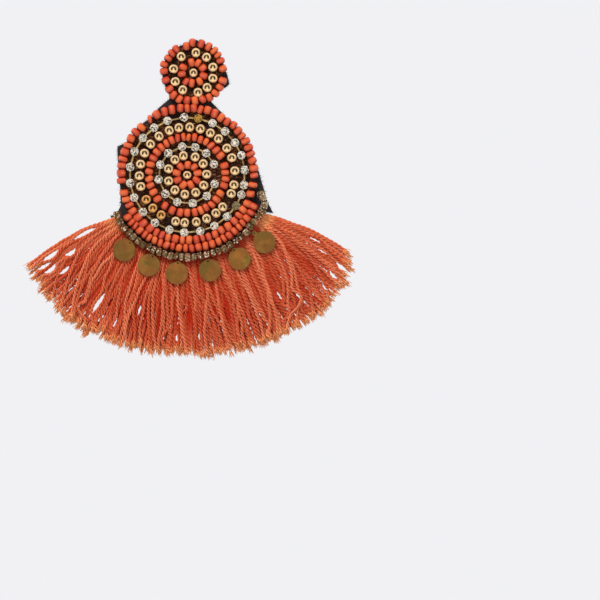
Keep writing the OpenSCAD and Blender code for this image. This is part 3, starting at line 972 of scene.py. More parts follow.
@dataclass
class Beadwork:
    """All the seed beads, gold balls, cup chain and threads."""

    nodes: Mapping[str, bpy.types.Object]
    seed_bore: float = 0.22
    round_sides: int = 10
    cut_sides: int = 7
    seed_longest: float = 2.05 * MM
    seed_pitch: float = 1.8 * MM
    rim_pitch: float = 2.037 * MM
    rim_out: float = 0.16 * MM
    rim_gaps: tuple[tuple[float, float], ...] = (
        (95.5, 0.9), (103.5, 0.7), (112, 0.7), (259, 1.6), (321, 1.7), (328, 0.4), (350, 0.3),
    )
    crescent_turn: tuple[float, float] = (57.5, 67)
    bronze_turn: tuple[float, float] = (53, 69.5)
    curl_r: float = 4.5 * MM
    curl_turn: float = 50
    ball_sides: int = 24
    ball_steps: int = 12
    ball_bore: float = 0.14
    ball_long: float = 1.04
    ball_tones: float = 0.62
    brassy: tuple[float, float] = (205, 242)
    brassy_tone: float = 0.95
    table_r: float = 0.29
    facet: float = 0.07
    crown_h: float = 0.16
    girdle_h: float = 0.14
    stone_grow: float = 1.19
    stone_out: float = 0.1 * MM
    prong_at: float = 0.46
    prong_sizes: tuple[float, float] = (0.15, 0.22)
    prong_tone: float = 2.0
    thread_d: float = 0.3 * MM
    thread_step: float = 1.2 * MM
    thread_inset: float = 0.3 * MM
    link_d: float = 0.54 * MM
    link_h: float = 0.7 * MM
    cup_ring_r: float = 16.4 * MM
    cup_h: float = 1.0 * MM
    bare_cups: tuple[float, ...] = (11, 122)
    stud: Disc = field(init=False)
    medallion: Disc = field(init=False)

    def __post_init__(self) -> None:
        """Finds the two discs from the CAD's flower rings and felt."""
        face_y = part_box("felt_backing")[0].y
        for row in ("stud", "medallion"):
            low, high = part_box(f"{row}_flower_ring")
            setattr(self, row, Disc((low.x + high.x) / 2, (low.z + high.z) / 2, face_y))

    def _ring_radius(self, node: str) -> float:
        """Radius of a full ring, to the middle of its bar."""
        low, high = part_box(node)
        return (high.x - low.x - (high.y - low.y)) / 2

    def _foot_radius(self, node: str) -> float:
        """Radius of a row round the foot of the medallion, to the middle of its bar."""
        low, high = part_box(node)
        return self.medallion.z - low.z - (high.y - low.y) / 2

    def browned(self) -> tuple[tuple[Vector, float], ...]:
        """Middles and radii of the rounds where the felt is seen among the beads."""
        rounds = ((self.medallion, 0, 19.0), (self.medallion, 4.5, 18.6), (self.stud, 0, 8.4))
        return tuple((disc.spot(180, down * MM, 0), radius * MM) for disc, down, radius in rounds)

    def cup_spots(self) -> list[Vector]:
        """Places of the two cups that have lost their stones."""
        return [self.medallion.spot(clock, self.cup_ring_r, self.cup_h) for clock in self.bare_cups]

    def round_bead(self, plump: float) -> bpy.types.Mesh:
        """A round seed bead of length 1 and diameter 1, with its hole along X.

        Args:
            plump: How far its ends bulge, from 0 to 1.

        Returns:
            The pattern.
        """
        lip, shoulder = 0.45 - 0.08 * plump, 0.42 - 0.08 * plump
        half = [(lip, self.seed_bore), (0.5, 0.3 - 0.03 * plump), (shoulder, 0.44 - 0.02 * plump)]
        return lathe([*half, (0.0, 0.5), *((-x, r) for x, r in reversed(half))], self.round_sides)

    def cut_bead(self, taper: float) -> bpy.types.Mesh:
        """A cut seed bead of length 1 and diameter 1, with flat sides.

        Args:
            taper: How far its back end slopes.

        Returns:
            The pattern.
        """
        bore, back = self.seed_bore, (-0.36 + taper, 0.48)
        outline = [(0.46, bore), (0.5, 0.4), (0.34, 0.5), back, (-0.5, 0.36), (-0.46, bore)]
        return lathe(outline, self.cut_sides)

    def ball(self) -> bpy.types.Mesh:
        """A drilled ball of diameter 1, with its bore along X."""
        lip = math.asin(2 * self.ball_bore)
        steps = self.ball_steps
        turns = [lip + (math.pi - 2 * lip) * i / steps for i in range(steps + 1)]
        return lathe([(0.5 * math.cos(t), 0.5 * math.sin(t)) for t in turns], self.ball_sides)

    def brilliant(self) -> bpy.types.Mesh:
        """A cut stone of diameter 1, with its girdle at 0 and its table up Z."""
        bm = bmesh.new()
        bmesh.ops.create_cone(
            bm, cap_ends=True, segments=8, radius1=0.5, radius2=self.table_r, depth=self.crown_h,
            matrix=Matrix.Translation((0, 0, self.crown_h / 2)),
        )
        mains = [e for e in bm.edges if abs(e.verts[0].co.z - e.verts[1].co.z) > self.crown_h / 2]
        rims = [e for e in bm.edges if min(v.co.z for v in e.verts) > self.crown_h / 2]
        cut = mains + rims
        bmesh.ops.bevel(
            bm, geom=cut, offset=self.facet, segments=1, affect="EDGES", profile=0.5, material=-1
        )
        base = [f for f in bm.faces if f.normal.z < -0.9]
        moved = bmesh.ops.extrude_face_region(bm, geom=base)["geom"]
        verts = [g for g in moved if isinstance(g, bmesh.types.BMVert)]
        bmesh.ops.delete(bm, geom=base, context="FACES")
        bmesh.ops.translate(bm, vec=(0, 0, -self.girdle_h), verts=verts)
        bmesh.ops.recalc_face_normals(bm, faces=bm.faces)
        return mesh_of(bm)

    def stones(self) -> None:
        """Sets a cut stone over each CAD stone, as wide as its cup, with four prongs bent over it."""
        stone = CutStone("cut_stone").material()
        pattern = self.brilliant()
        bm = bmesh.new()
        bmesh.ops.create_icosphere(bm, subdivisions=1, radius=0.5)
        prong = mesh_of(bm)
        turned = self.medallion.frame(0, 0, 0).to_3x3().to_4x4()
        for row, seed in (("inner", 36), ("outer", 37)):
            node = f"{row}_stones"
            rng = random.Random(seed)
            heap = Heap()
            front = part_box(node)[0].y
            for middle, size in islands(self.nodes[node]):
                wide = size * self.stone_grow
                middle.y = front + self.crown_h * wide - self.stone_out
                roll = Matrix.Rotation(rng.uniform(0, math.tau), 4, "Z")
                tilt = Matrix.Rotation(math.radians(rng.gauss(0, 5)), 4, "X")
                place = Matrix.Translation(middle) @ turned @ tilt @ roll @ Matrix.Scale(wide, 4)
                heap.add(pattern, place, rng.random())
                for quarter in range(4):
                    aside = Matrix.Rotation(math.radians(quarter * 90 + rng.gauss(0, 8)), 4, "Z")
                    reach = Matrix.Translation((self.prong_at, 0, rng.uniform(0.0, 0.05)))
                    small = Matrix.Scale(rng.uniform(*self.prong_sizes), 4)
                    heap.add(prong, place @ aside @ reach @ small, self.prong_tone)
            place_piece(f"{row}_cut_stones", heap.finish(smooth=False), stone, Slot.STONE, node)

    def links(self, gold: bpy.types.Material) -> None:
        """Lays a rounded link of plated wire over each bar between two cups.

        Args:
            gold: The cup chain's material.
        """
        strands = Strands(6)
        shares = [0.3 + 0.4 * i / 5 for i in range(6)]
        widths = [self.link_d / 2 / MM * (1 + 0.25 * abs(s - 0.5) / 0.2) for s in shares]
        for row, bare in (("inner", ()), ("outer", self.bare_cups)):
            middles = [middle for middle, _ in islands(self.nodes[f"{row}_stones"])]
            away = [(m.x - self.medallion.x, m.z - self.medallion.z) for m in middles]
            radius = sum(math.hypot(x, z) for x, z in away) / len(away)
            clocks = sorted([math.degrees(math.atan2(x, z)) % 360 for x, z in away] + list(bare))
            steps = [(b - a) % 360 for a, b in zip(clocks, clocks[1:] + clocks[:1])]
            usual = sorted(steps)[len(steps) // 2]
            for clock, step in zip(clocks, steps):
                if step <= usual * 1.2:
                    start, end = (self.medallion.spot(c, radius, self.link_h) for c in (clock, clock + step))
                    strands.add([start.lerp(end, s) for s in shares], widths)
        place_piece("cup_links", strands.finish(), gold, Slot.GOLD)

    def seed_rings(self) -> list[SeedRow]:
        """Strings the coral rings of both discs.

        Returns:
            The rows, built.
        """
        patterns = [self.round_bead(plump) for plump in (0.2, 0.6, 1.0)]
        flower = [2, 41, 80, 119, 160, 201, 242, 281, 322]
        stud_flower = [-10, 24.5, 63, 106, 143.5, 189, 220, 264, 299]
        stud_rim = [
            358, 15, 30, 43, 54, 66, 82, 105, 119, 133, 147, 161,
            177, 193, 208, 222, 236, 255, 273, 286, 300, 312, 324, 345,
        ]
        middle = [
            2, 11, 20.5, 29.5, 39, 49.5, 60, 76, 86.5, 96, 106, 119, 130, 140.5, 150, 159, 168.5,
            180, 190.5, 203, 216, 231, 243, 254, 264, 275, 286, 296.5, 307, 317, 326.5, 336, 345.5, 354.5,
        ]
        out = [
            0.4, 0.5, 0.4, 0.4, 0.3, 0.3, 0.3, 0.5, 0.3, 0.3, 0.1, -0.3,
            -0.4, -0.2, 0.3, 0.45, 0.05, 0.1, 0.3, 0.5, 0.1, 0.15, 0.15, -0.3,
        ]
        rings = (
            ("stud_flower_beads", "stud_flower_ring", self.stud, stud_flower, dict.fromkeys((6, 7, 8), 0.3)),
            ("stud_rim_beads", "stud_rim_ring", self.stud, stud_rim, dict(enumerate(out))),
            ("flower_beads", "medallion_flower_ring", self.medallion, flower, {}),
            ("middle_coral_beads", "middle_coral_ring", self.medallion, middle, {}),
        )
        rows = []
        for seed, (name, node, disc, clocks, shifts_mm) in enumerate(rings, start=11):
            ring = Sweep(self._ring_radius(node))
            beads = by_hand(clocks, ring.radius, shifts_mm, self.seed_longest)
            rows.append(SeedRow(name, node, disc, [ring], beads, patterns, seed))
            if len(clocks) < 10:
                rows[-1].widths = (1.16, 1.3)
        ring = Sweep(self._ring_radius("rim_coral_ring") + self.rim_out)
        gaps = [(ring.radius * math.radians(clock), width * MM) for clock, width in self.rim_gaps]
        beads = evenly(ring.length(), self.rim_pitch, 21, gaps)
        rim = SeedRow("rim_coral_beads", "rim_coral_ring", self.medallion, [ring], beads, patterns, 15)
        rim.off_centre, rim.widths, rim.loose = (0.1, 0.3), (1.18, 1.38), 2.0
        left, right = self.crescent_turn
        arc = Sweep(self._foot_radius("crescent_coral_row"), 180 + left, 180 - right)
        beads = evenly(arc.length(), self.seed_pitch, 22)
        node = "crescent_coral_row"
        foot = SeedRow("crescent_coral_beads", node, self.medallion, [arc], beads, patterns, 16)
        foot.off_centre, foot.widths, foot.loose = (0.2, 0.1), (1.22, 1.38), 1.5
        rows += [rim, foot]
        coral = CoralGlass("coral_glass").material()
        for row in rows:
            row.build(coral, smooth=True)
        return rows

    def bronze_row(self) -> SeedRow:
        """Strings the bronze row over the head of the fringe, curled in at both ends.

        Returns:
            The row, built.
        """
        radius = self._foot_radius("bronze_row")
        inner = radius - self.curl_r
        left, right = 180 + self.bronze_turn[0], 180 - self.bronze_turn[1]
        at_left, at_right = (
            (inner * math.sin(math.radians(clock)), inner * math.cos(math.radians(clock)))
            for clock in (left, right)
        )
        sweeps = [
            Sweep(self.curl_r, left + self.curl_turn, left, at_left),
            Sweep(radius, left, right),
            Sweep(self.curl_r, right, right - self.curl_turn, at_right),
        ]
        beads = evenly(sum(s.length() for s in sweeps), self.seed_pitch, 23, fill=0.84)
        at_ends = {0: (0.3, 2.2), 1: (0.1, 1.5)}
        at_ends |= {-4: (0.1, 1.5), -3: (0.1, 2.1), -2: (-0.7, 1.4), -1: (-0.9, 1.7)}
        for i, (out, long) in at_ends.items():
            beads[i] = Bead(beads[i].along, long * MM, out * MM)
        patterns = [self.cut_bead(0.0), self.cut_bead(0.1)]
        row = SeedRow("bronze_beads", "bronze_row", self.medallion, sweeps, beads, patterns, 17, Slot.BRONZE)
        row.widths, row.loose = (0.9, 1.08), 2.2
        row.build(BronzeGlass("bronze_glass").material(), smooth=False)
        return row

    def gold_balls(self) -> None:
        """Puts a smooth ball in the place of each drilled CAD ball."""
        sources = (
            ("stud_centre_ball", "stud_centre_bead", self.stud, 0.95),
            ("stud_gold_balls", "stud_gold_beads", self.stud, 1.05),
            ("medallion_centre_ball", "medallion_centre_bead", self.medallion, 0.93),
            ("inner_gold_balls", "inner_gold_beads", self.medallion, 1.05),
            ("outer_gold_balls", "outer_gold_beads", self.medallion, 1.05),
        )
        gold = GoldPlate("gold_plate").material()
        pattern = self.ball()
        for seed, (name, node, disc, share) in enumerate(sources, start=31):
            rng = random.Random(seed)
            heap = Heap()
            for middle, size in islands(self.nodes[node]):
                clock = math.degrees(math.atan2(middle.x - disc.x, middle.z - disc.z))
                turned = disc.frame(clock, 0, 0).to_3x3().to_4x4()
                lean = Matrix.Rotation(math.radians(rng.gauss(0, 7)), 4, "Z")
                size *= share
                deep = rng.uniform(0.99, 1.03)
                grow = Matrix.Diagonal((size, size * self.ball_long, size * deep, 1.0))
                tone = rng.random() * self.ball_tones
                if name == "outer_gold_balls" and self.brassy[0] < clock % 360 < self.brassy[1]:
                    tone = self.brassy_tone
                heap.add(pattern, Matrix.Translation(middle) @ turned @ lean @ grow, tone)
            place_piece(name, heap.finish(smooth=True), gold, Slot.GOLD, node)

    def threads(self, rows: Sequence[SeedRow]) -> None:
        """Runs a thread through each row of seed beads.

        Args:
            rows: The rows.
        """
        strands = Strands(6)
        for row in rows:
            total = sum(s.length() for s in row.sweeps)
            count = max(12, round(total / self.thread_step))
            inset = 0 if row.sweeps[0].end == 360 else self.thread_inset
            steps = [inset + (total - 2 * inset) * i / count for i in range(count + 1)]
            points = [row.frame(s).translation for s in steps]
            strands.add(points, [self.thread_d / 2 / MM] * len(points))
        place_piece("bead_threads", strands.finish(), Thread("seed_thread").material(), Slot.THREAD)


@dataclass
class Backing:
    """The hand-cut black felt behind both discs."""

    node: bpy.types.Object
    felt: bpy.types.Material
    edge_round: float = 0.28 * MM
    grid: float = 1.6 * MM
    swell: float = 0.07 * MM
    swell_wave: float = 2.1 * MM
    fibres: int = 1100
    fibre_length: float = 0.7 * MM
    fibre_root: float = 0.15 * MM
    fibre_radii_mm: tuple[float, ...] = (0.03, 0.025, 0.01)

    def build(self) -> None:
        """Softens the cut edges and puffs the faces of the felt."""
        bm = merged(self.node)
        bmesh.ops.dissolve_limit(bm, angle_limit=math.radians(1), verts=bm.verts, edges=bm.edges)
        area = sum(f.calc_area() for f in bm.faces if f.normal.y < -0.9)
        rim = [e for e in bm.edges if e.calc_face_angle(0.0) > math.radians(60)]
        bmesh.ops.bevel(
            bm, geom=rim, offset=self.edge_round, segments=2, affect="EDGES", profile=0.5, material=-1
        )
        low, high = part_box("felt_backing")
        for axis, across in ((0, Vector((1, 0, 0))), (2, Vector((0, 0, 1)))):
            for k in range(1, int((high[axis] - low[axis]) / self.grid)):
                at = low.copy()
                at[axis] += k * self.grid
                geometry = bm.verts[:] + bm.edges[:] + bm.faces[:]
                bmesh.ops.bisect_plane(bm, geom=geometry, dist=1e-7, plane_co=at, plane_no=across)
        bmesh.ops.triangulate(bm, faces=bm.faces)
        bm.normal_update()
        for vert in bm.verts:
            vert.co += vert.normal * noise.noise(vert.co / self.swell_wave) * self.swell
        mesh = mesh_of(bm, smooth=True)
        piece = place_piece("felt_sheet", mesh, self.felt, Slot.FELT, "felt_backing")

    def fuzz(self) -> None:
        """Stands loose fibres on the cut edges."""
        rng = random.Random(41)
        bm = merged(self.node)
        sides = [f for f in bm.faces if abs(f.normal.y) < 0.3]
        areas = [f.calc_area() for f in sides]
        strands = Strands(4)
        for face in rng.choices(sides, areas, k=self.fibres):
            a, b, c = (face.verts[i].co for i in range(3))
            u, v = rng.random(), rng.random()
            if u + v > 1:
                u, v = 1 - u, 1 - v
            root = a + (b - a) * u + (c - a) * v - face.normal * self.fibre_root
            aim = (face.normal + Vector(rng.gauss(0, 0.6) for _ in range(3))).normalized()
            sag = Vector(rng.gauss(0, 0.35) for _ in range(3))
            reach = self.fibre_length * rng.uniform(0.5, 1.2)
            points = [root + aim * reach * t + sag * reach * t * t for t in (0, 0.5, 1)]
            strands.add(points, self.fibre_radii_mm)
        bm.free()
        place_piece("felt_fibres", strands.finish(), self.felt, Slot.FELT)


@dataclass(frozen=True)
class Layer:
    """One layer of yarn.

    Its heights are above the felt, in millimetres: under the bronze row, behind the discs and at
    the tips. Stray is how far a strand leans from its place, in degrees, and hang the share of its
    angle by which it drops towards straight down. Depth is how much painted shade it gets for lying
    under the other layers, from 0 to 1. A ply has that many stations along it and sides, and its
    radius is given with its distance from the strand's core.
    """

    name: str
    count: int
    heights: tuple[float, float, float]
    stray: float
    hang: float
    depth: float
    stations: int
    sides: int
    pitch_mm: float
    ply_mm: float
    twist_mm: float


@dataclass(frozen=True)
class Parting:
    """A slit in the fan: its angle, where it starts and ends, and half its width in millimetres.

    Bowed is how many degrees the fan's bow carries the strands outwards there.
    """

    angle: float
    start_mm: float
    end_mm: float
    open_mm: float
    bowed: float = 0.0

    def push(self, angle: float, radius: float, side: float) -> float:
        """How far the slit pushes a strand aside.

        Args:
            angle: The strand's angle at this radius.
            radius: The radius.
            side: 1 where the strand stays to the right of the slit, -1 to the left.

        Returns:
            The push, in degrees.
        """
        along = (radius / MM - self.start_mm) / (self.end_mm - self.start_mm)
        if not 0 < along < 1:
            return 0.0
        over = self.open_mm - side * math.radians(angle - self.angle) * radius / MM
        shift = (over + math.sqrt(over * over + 0.25)) / 2 * math.sin(math.pi * along) ** 0.7
        return side * math.degrees(shift * MM / radius)


@dataclass
class Fringe:
    """The fan of two-ply yarn. Its reach is pairs of angle and millimetres."""

    medallion: Disc
    left: float = -59.0
    right: float = 62.5
    root_r: float = 22.7 * MM
    clear_r: float = 27.5 * MM
    bow_deg: float = 3.2
    ragged_mm: float = 1.3
    uneven_mm: float = 0.55
    shorter_mm: float = 0.35
    frays: int = 7
    fray_radii_mm: tuple[float, ...] = (0.11, 0.1, 0.05)
    hairs: int = 8
    hair_radii_mm: tuple[float, ...] = (0.035, 0.03, 0.012)
    layers: tuple[Layer, ...] = (
        Layer("yarn_back", 190, (0.36, 0.52, -0.1), 0.7, 0.0, 0.9, 60, 4, 2.8, 0.34, 0.2),
        Layer("yarn_middle", 76, (0.46, 0.76, 0.4), 4.0, 0.12, 0.45, 96, 4, 2.6, 0.23, 0.23),
        Layer("yarn_front", 60, (0.56, 1.02, 0.9), 6.5, 0.3, 0.0, 112, 6, 2.4, 0.235, 0.235),
    )
    reach: tuple[tuple[float, float], ...] = (
        (-66, 51.6), (-60, 52.0), (-49, 53.0), (-37, 53.2), (-30, 52.0), (-20, 51.9), (-8.5, 50.8), (2, 51.2),
        (12, 51.4), (23, 52.1), (34, 53.3), (43, 55.0), (49, 54.6), (56, 54.3), (63, 52.9), (68, 51.0),
    )
    partings: tuple[Parting, ...] = tuple(
        Parting(*slit)
        for slit in (
            (-60.4, 29.5, 38.0, 0.8, 2.4), (-58.6, 42.0, 48.5, 0.42), (-57.0, 45.5, 51.0, 0.42),
            (-55.3, 37.5, 42.0, 0.4), (-54.6, 45.0, 49.5, 0.4), (-51.5, 42.0, 46.5, 0.42),
            (-39.5, 46.5, 50.0, 0.42), (-34.8, 39.5, 49.5, 0.85), (-30.8, 45.0, 49.0, 0.42),
            (-26.0, 44.5, 50.0, 0.5), (-19.5, 39.0, 42.5, 0.5), (-8.3, 44.5, 49.5, 0.4),
            (-6.5, 41.5, 45.5, 0.42), (-3.9, 45.0, 48.0, 0.4), (-0.8, 36.5, 39.0, 0.38),
            (4.0, 44.5, 47.5, 0.4), (27.5, 43.5, 46.5, 0.42), (28.2, 46.8, 49.8, 0.42),
            (37.3, 41.5, 45.5, 0.5), (36.8, 46.0, 49.5, 0.42), (42.6, 44.0, 49.5, 0.52),
            (50.5, 49.0, 53.0, 0.5), (55.0, 48.5, 52.5, 0.42), (58.5, 49.5, 53.0, 0.42),
            (60.5, 41.5, 46.5, 0.46, -2.1), (63.2, 37.5, 44.0, 0.5, -2.4),
        )
    )

    def tip_radius(self, angle: float) -> float:
        """How far the fan reaches.

        Args:
            angle: Degrees to the right of straight down.

        Returns:
            The radius of the strands' tips there.
        """
        for (a, low), (b, high) in zip(self.reach, self.reach[1:]):
            if angle <= b:
                return (low + (high - low) * max(0, (angle - a) / (b - a))) * MM
        return self.reach[-1][1] * MM

    def line(self, number: int, layer: Layer, rng: random.Random) -> list[Vector]:
        """The middle line of one strand.

        Args:
            number: Its number in the layer, from the left.
            layer: The layer that it is in.
            rng: The fan's random numbers.

        Returns:
            Its points, from root to tip.
        """
        spread = self.right - self.left
        root = self.left + spread * (number + 0.5 + rng.uniform(-0.4, 0.4)) / layer.count
        clump = noise.noise(Vector((root * 0.09, layer.stray, 3.1)))
        lean = layer.stray * 1.5 * clump + rng.gauss(0, layer.stray * 0.33)
        lean += layer.hang * (8 * (1 - ease((abs(root) - 8) / 22)) - root * rng.uniform(0.5, 1.3))
        tip = min(max(root * 1.03 + lean, self.left - 1.2), self.right + 2.2)
        sides = [math.copysign(1, root * 0.4 + tip * 0.6 - p.angle - p.bowed) for p in self.partings]
        bow = self.bow_deg * ease((abs(root) - 44) / 16) * math.copysign(1, root)
        sway, sway_at = rng.uniform(0.08, 0.14) * layer.stray * MM, rng.uniform(0, math.tau)
        turns = rng.uniform(3.5, 7.0)
        crinkle, crinkles = rng.uniform(0.06, 0.2) * (1 - layer.depth * 0.6) * MM, rng.uniform(16, 34)
        ragged = self.ragged_mm * noise.noise(Vector((tip * 0.35, layer.stray, 7.7)))
        longer = rng.gauss(0, self.uneven_mm) + ragged - self.shorter_mm
        end_r = self.tip_radius(tip) + longer * MM
        under, behind, at_tip = layer.heights
        lift, at_tip = rng.uniform(-0.08, 0.06), at_tip + rng.uniform(-0.4, 0.4)
        points = []
        for i in range(layer.stations):
            t = i / (layer.stations - 1)
            radius = self.root_r + (end_r - self.root_r) * t
            angle = root + (tip - root) * t**1.2 + bow * math.sin(math.pi * t) * (1 - 0.3 * t)
            angle += math.degrees(sway / radius) * math.sin(sway_at + turns * t) * ease(t * 3)
            angle += math.degrees(crinkle / radius) * math.sin(sway_at * 3 + crinkles * t) * ease(t * 5)
            angle += sum(p.push(angle, radius, s) for p, s in zip(self.partings, sides))
            out = ease((radius - self.root_r - 1.2 * MM) / (self.clear_r - self.root_r))
            height = under + (behind + lift - under) * out + (at_tip - behind) * ease((t - 0.3) / 0.7)
            points.append(self.medallion.spot(180 - angle, radius, height * MM))
        return points

    def shades(self, number: int, layer: Layer, tone: float) -> Numbers:
        """The numbers along one strand.

        Args:
            number: Its number in the layer, from the left.
            layer: The layer that it is in.
            tone: Its tone.

        Returns:
            Its tone, how much painted shade it gets (under other strands, under the bronze row, less at the
            fan's ends, sides and tips) and how pale, at each of its points.
        """
        shares = [i / layer.stations for i in range(layer.stations)]
        aside = abs(number / layer.count - 0.49)
        outer, shade = ease((aside - 0.41) / 0.07), 1 - 0.3 * ease((aside - 0.15) / 0.25)
        root = outer * (0.8 if number * 2 > layer.count else 0.4)
        # Painted shade: the layer's depth, and more of it just under the bronze row.
        deep = [layer.depth + (1 - layer.depth) * 0.7 * (1 - ease((t - 0.03) / 0.12)) for t in shares]
        # Less painted shade at the fan's two ends, towards its sides and towards the tips.
        fade = [(1 - outer) * shade * (1 - 0.85 * ease((t - 0.66) / 0.28)) for t in shares]
        pale = [0.75 * ease((t - 0.89) / 0.11) ** 2 + root * (1 - ease((t - 0.08) / 0.14)) for t in shares]
        return {"tone": [tone] * layer.stations, "depth": [d * f for d, f in zip(deep, fade)], "pale": pale}

    def twist(
        self, strands: Strands, line: Sequence[Vector], layer: Layer, numbers: Numbers, rng: random.Random
    ) -> None:
        """Twists two plies round a line.

        Args:
            strands: Where the plies go.
            line: The strand's middle line.
            layer: The layer that it is in.
            numbers: The numbers along it.
            rng: The fan's random numbers.
        """
        start = rng.uniform(0, math.tau)
        size = rng.uniform(0.9, 1.08)
        pitch = layer.pitch_mm * rng.uniform(0.92, 1.1) * MM
        last = len(line) - 1
        for ply in (0, math.pi):
            along, points, radii = 0.0, [], []
            for i, here in enumerate(line):
                ahead = (line[min(i + 1, last)] - line[max(i - 1, 0)]).normalized()
                side = ahead.cross(TOWARDS_VIEWER).normalized()
                up = side.cross(ahead)
                if i:
                    along += (here - line[i - 1]).length
                t = i / last
                squeeze = 0.66 + 0.34 * ease(t / 0.12)
                frayed = ease((t - 0.94) / 0.06)
                turn = start + ply + math.tau * along / pitch
                out = layer.twist_mm * size * squeeze * (1 + 0.7 * frayed) * MM
                points.append(here + out * (math.cos(turn) * side + 0.85 * math.sin(turn) * up))
                radii.append(layer.ply_mm * size * squeeze * (1 - 0.45 * frayed))
            strands.add(points, radii, numbers, line)

    def loosen(
        self, fuzz: Strands, line: Sequence[Vector], tone: float, depth: float, rng: random.Random
    ) -> None:
        """Opens the cut end of a strand into loose fibres, and lifts a few hairs along it.

        Args:
            fuzz: Where the fibres and hairs go.
            line: The strand's middle line.
            tone: The strand's tone.
            depth: How much painted shade its layer gets.
            rng: The fan's random numbers.
        """
        tip, ahead = line[-1], (line[-1] - line[-5]).normalized()
        numbers = {"tone": [tone] * 3, "depth": [0, 0, 0], "pale": [0.5, 0.7, 0.9]}
        for _ in range(self.frays):
            spread = Vector(rng.gauss(0, 1) for _ in range(3)) * 0.24
            start = line[-rng.randint(2, 6)] + spread * 0.6 * MM
            reach = rng.uniform(0.2, 0.9) * MM
            aim = (ahead + spread).normalized()
            points = [start, (start + tip) / 2 + spread * MM * 0.8, tip + aim * reach + spread * MM]
            fuzz.add(points, self.fray_radii_mm, numbers)
        # The hairs take half their layer's painted shade.
        numbers = {"tone": [tone] * 3, "depth": [depth * 0.5] * 3, "pale": [0.2, 0.35, 0.5]}
        for _ in range(self.hairs):
            i = rng.randint(8, len(line) - 8)
            ahead = (line[i + 3] - line[i]).normalized()
            off = Vector(rng.gauss(0, 1) for _ in range(3)).normalized()
            start = line[i] + off * 0.35 * MM
            reach = rng.uniform(0.8, 1.8) * MM
            bend = Vector(rng.gauss(0, 0.3) for _ in range(3))
            aim = ahead * 0.8 + off * 0.5
            points = [start + aim * reach * t + bend * reach * t * t for t in (0, 0.5, 1)]
            fuzz.add(points, self.hair_radii_mm, numbers)

    def build(self) -> None:
        """Lays the strands in three layers, and frays their ends."""
        yarn = Yarn("coral_yarn").material()
        rng = random.Random(51)
        fuzz = Strands(4)
        for layer in self.layers:
            strands = Strands(layer.sides)
            for number in range(layer.count):
                line = self.line(number, layer, rng)
                tone = clamp(rng.gauss(0.5, 0.3))
                self.twist(strands, line, layer, self.shades(number, layer, tone), rng)
                self.loosen(fuzz, line, tone, layer.depth, rng)
            place_piece(layer.name, strands.finish(), yarn, Slot.YARN, "fringe")
        place_piece("yarn_hairs", fuzz.finish(), yarn, Slot.YARN, "fringe")


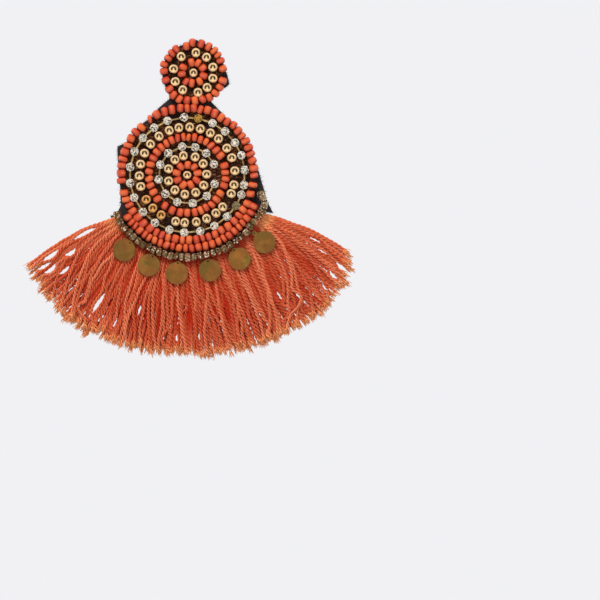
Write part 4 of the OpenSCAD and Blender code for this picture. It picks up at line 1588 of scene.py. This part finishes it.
@dataclass
class Studio:
    """The camera, the lights, the sky round the earring and the floor."""

    frame_width: float = 171 * MM
    distance: float = 1.503
    sensor: float = 36.0
    aim: Vector = Vector((30.3 * MM, 0, -64.6 * MM))
    lit_middle: Vector = Vector((0, 0, -0.04))
    floor_z: float = -0.2
    floor_radius: float = 0.35

    def camera(self) -> None:
        """Puts a long lens in front of the earring."""
        data = bpy.data.cameras.new("camera")
        data.sensor_width = self.sensor
        data.lens = self.sensor * (self.distance + self.aim.y) / self.frame_width
        data.clip_start, data.clip_end = 0.01, 10
        camera = add_object("camera", data)
        camera.location = self.aim - Vector((0, self.distance, 0))
        camera.rotation_euler = (math.pi / 2, 0, 0)
        bpy.context.scene.camera = camera

    def sky(self) -> None:
        """A white tent, greyer ahead, with a dark arch round the lens."""
        world = bpy.data.worlds.new("sky")
        bpy.context.scene.world = world
        world.use_nodes = True
        g = Graph(world.node_tree)
        ray = g.out("TexCoord", {}, {}, "Generated")
        facing = g.vector("DOT_PRODUCT", ray, tuple(TOWARDS_VIEWER), output="Value")
        x, z = g.outs("SeparateXYZ", {0: ray}, "X", "Z")
        down = z * -1 / g.maths("SQRT", x * x + z * z + 0.0001)
        ring = facing.above(0.2, 0.34) * (1 - facing.above(0.93, 0.965))
        dark = ring * (1 - down.above(0.5, 0.85)) * (1 - (down * -1).above(0.8, 1.0) * 0.15)
        glossy, straight = g.outs("LightPath", {}, "Is Glossy Ray", "Is Camera Ray")
        soft = 0.52 + z * 0.2 - x * 0.06
        ahead = g.mix(facing.above(0.0, 0.35), (1.18, 1.15, 1.1, 1), (1.0, 0.96, 0.88, 1))
        bright = g.mix(glossy, g.tint((1.0, 0.99, 0.97, 1), soft), ahead)
        light = g.mix(dark * glossy, bright, (0.05, 0.02, 0.004, 1))
        colours = (light, srgb(241, 241, 244))
        lit, seen = (g.out("Background", {}, {"Color": c, "Strength": 1.0}) for c in colours)
        g.node("OutputWorld", {}, {"Surface": g.out("MixShader", {}, {0: straight, 1: lit, 2: seen})})

    def lamp(self, name: str, place: tuple[float, float, float], size: float, power: float) -> None:
        """Hangs a soft square lamp that faces the earring and doesn't mirror in the gold.

        Args:
            name: Its name.
            place: Where it hangs, from the middle of the earring.
            size: Its side.
            power: Its power in watts.
        """
        data = bpy.data.lights.new(name, "AREA")
        data.shape, data.size, data.energy = "SQUARE", size, power
        lamp = add_object(name, data)
        lamp.location = self.lit_middle + Vector(place)
        lamp.rotation_euler = (-Vector(place)).to_track_quat("-Z", "Y").to_euler()
        lamp.visible_glossy = False

    def floor(self) -> None:
        """Lays a round pale floor well below the earring, out of the gold's mirror."""
        bm = bmesh.new()
        bmesh.ops.create_circle(bm, cap_ends=True, segments=96, radius=self.floor_radius)
        bmesh.ops.translate(bm, vec=(0, 0, self.floor_z), verts=bm.verts)
        mesh = mesh_of(bm)
        mesh.materials.append(Paper("paper").material())
        floor = add_object("floor", mesh)
        floor.visible_glossy = False

    def build(self) -> None:
        """Sets up the whole studio."""
        bpy.context.scene.view_settings.view_transform = "Standard"
        self.camera()
        self.sky()
        self.lamp("key", (-0.4, -0.7, 0.95), size=0.4, power=13.0)
        self.lamp("fill", (0.8, -0.6, 0.1), size=0.7, power=2.0)
        self.floor()


def dress_metal(nodes: Mapping[str, bpy.types.Object], cups: bpy.types.Material) -> None:
    """Finishes the CAD nodes of metal and thread, which stay.

    Args:
        nodes: The CAD nodes' objects, by name.
        cups: The cup chain's material.
    """
    thread = Thread("black_thread").material()
    finishes = {"ear_post": Steel("post_steel").material(), "inner_cup_chain": cups, "outer_cup_chain": cups}
    finishes |= {f"{row}_gold_thread": thread for row in ("stud", "inner", "outer")}
    greens = (0.35, 0.5, 0.4, 0.7, 0.8, 0.45)
    lights = (1.09, 1.16, 1.16, 1.15, 1.28, 1.16)
    for i, (green, light) in enumerate(zip(greens, lights), start=1):
        low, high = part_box(f"brass_disc_{i}")
        middle = Vector(((low.x + high.x) / 2, low.y, low.z + AntiqueBrass.radius_mm * MM))
        brass = AntiqueBrass(f"antique_brass_{i}", middle, green_share=green, light=light)
        finishes[f"brass_disc_{i}"] = brass.material()
    for name, material in finishes.items():
        for slot in nodes[name].material_slots:
            slot.material = material


def main() -> None:
    """Builds and dresses the earring, and sets up the studio."""
    logging.basicConfig(level=logging.INFO, format="%(message)s")
    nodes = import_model()["nodes"]
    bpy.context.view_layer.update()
    beadwork = Beadwork(nodes)
    rows = [*beadwork.seed_rings(), beadwork.bronze_row()]
    beadwork.gold_balls()
    beadwork.stones()
    cups = CupGold("cup_gold", *beadwork.cup_spots()).material()
    beadwork.links(cups)
    beadwork.threads(rows)
    backing = Backing(nodes["felt_backing"], Felt("black_felt", beadwork.browned()).material())
    backing.build()
    backing.fuzz()
    Fringe(beadwork.medallion).build()
    dress_metal(nodes, cups)
    Studio().build()


if __name__ == "__main__":
    main()
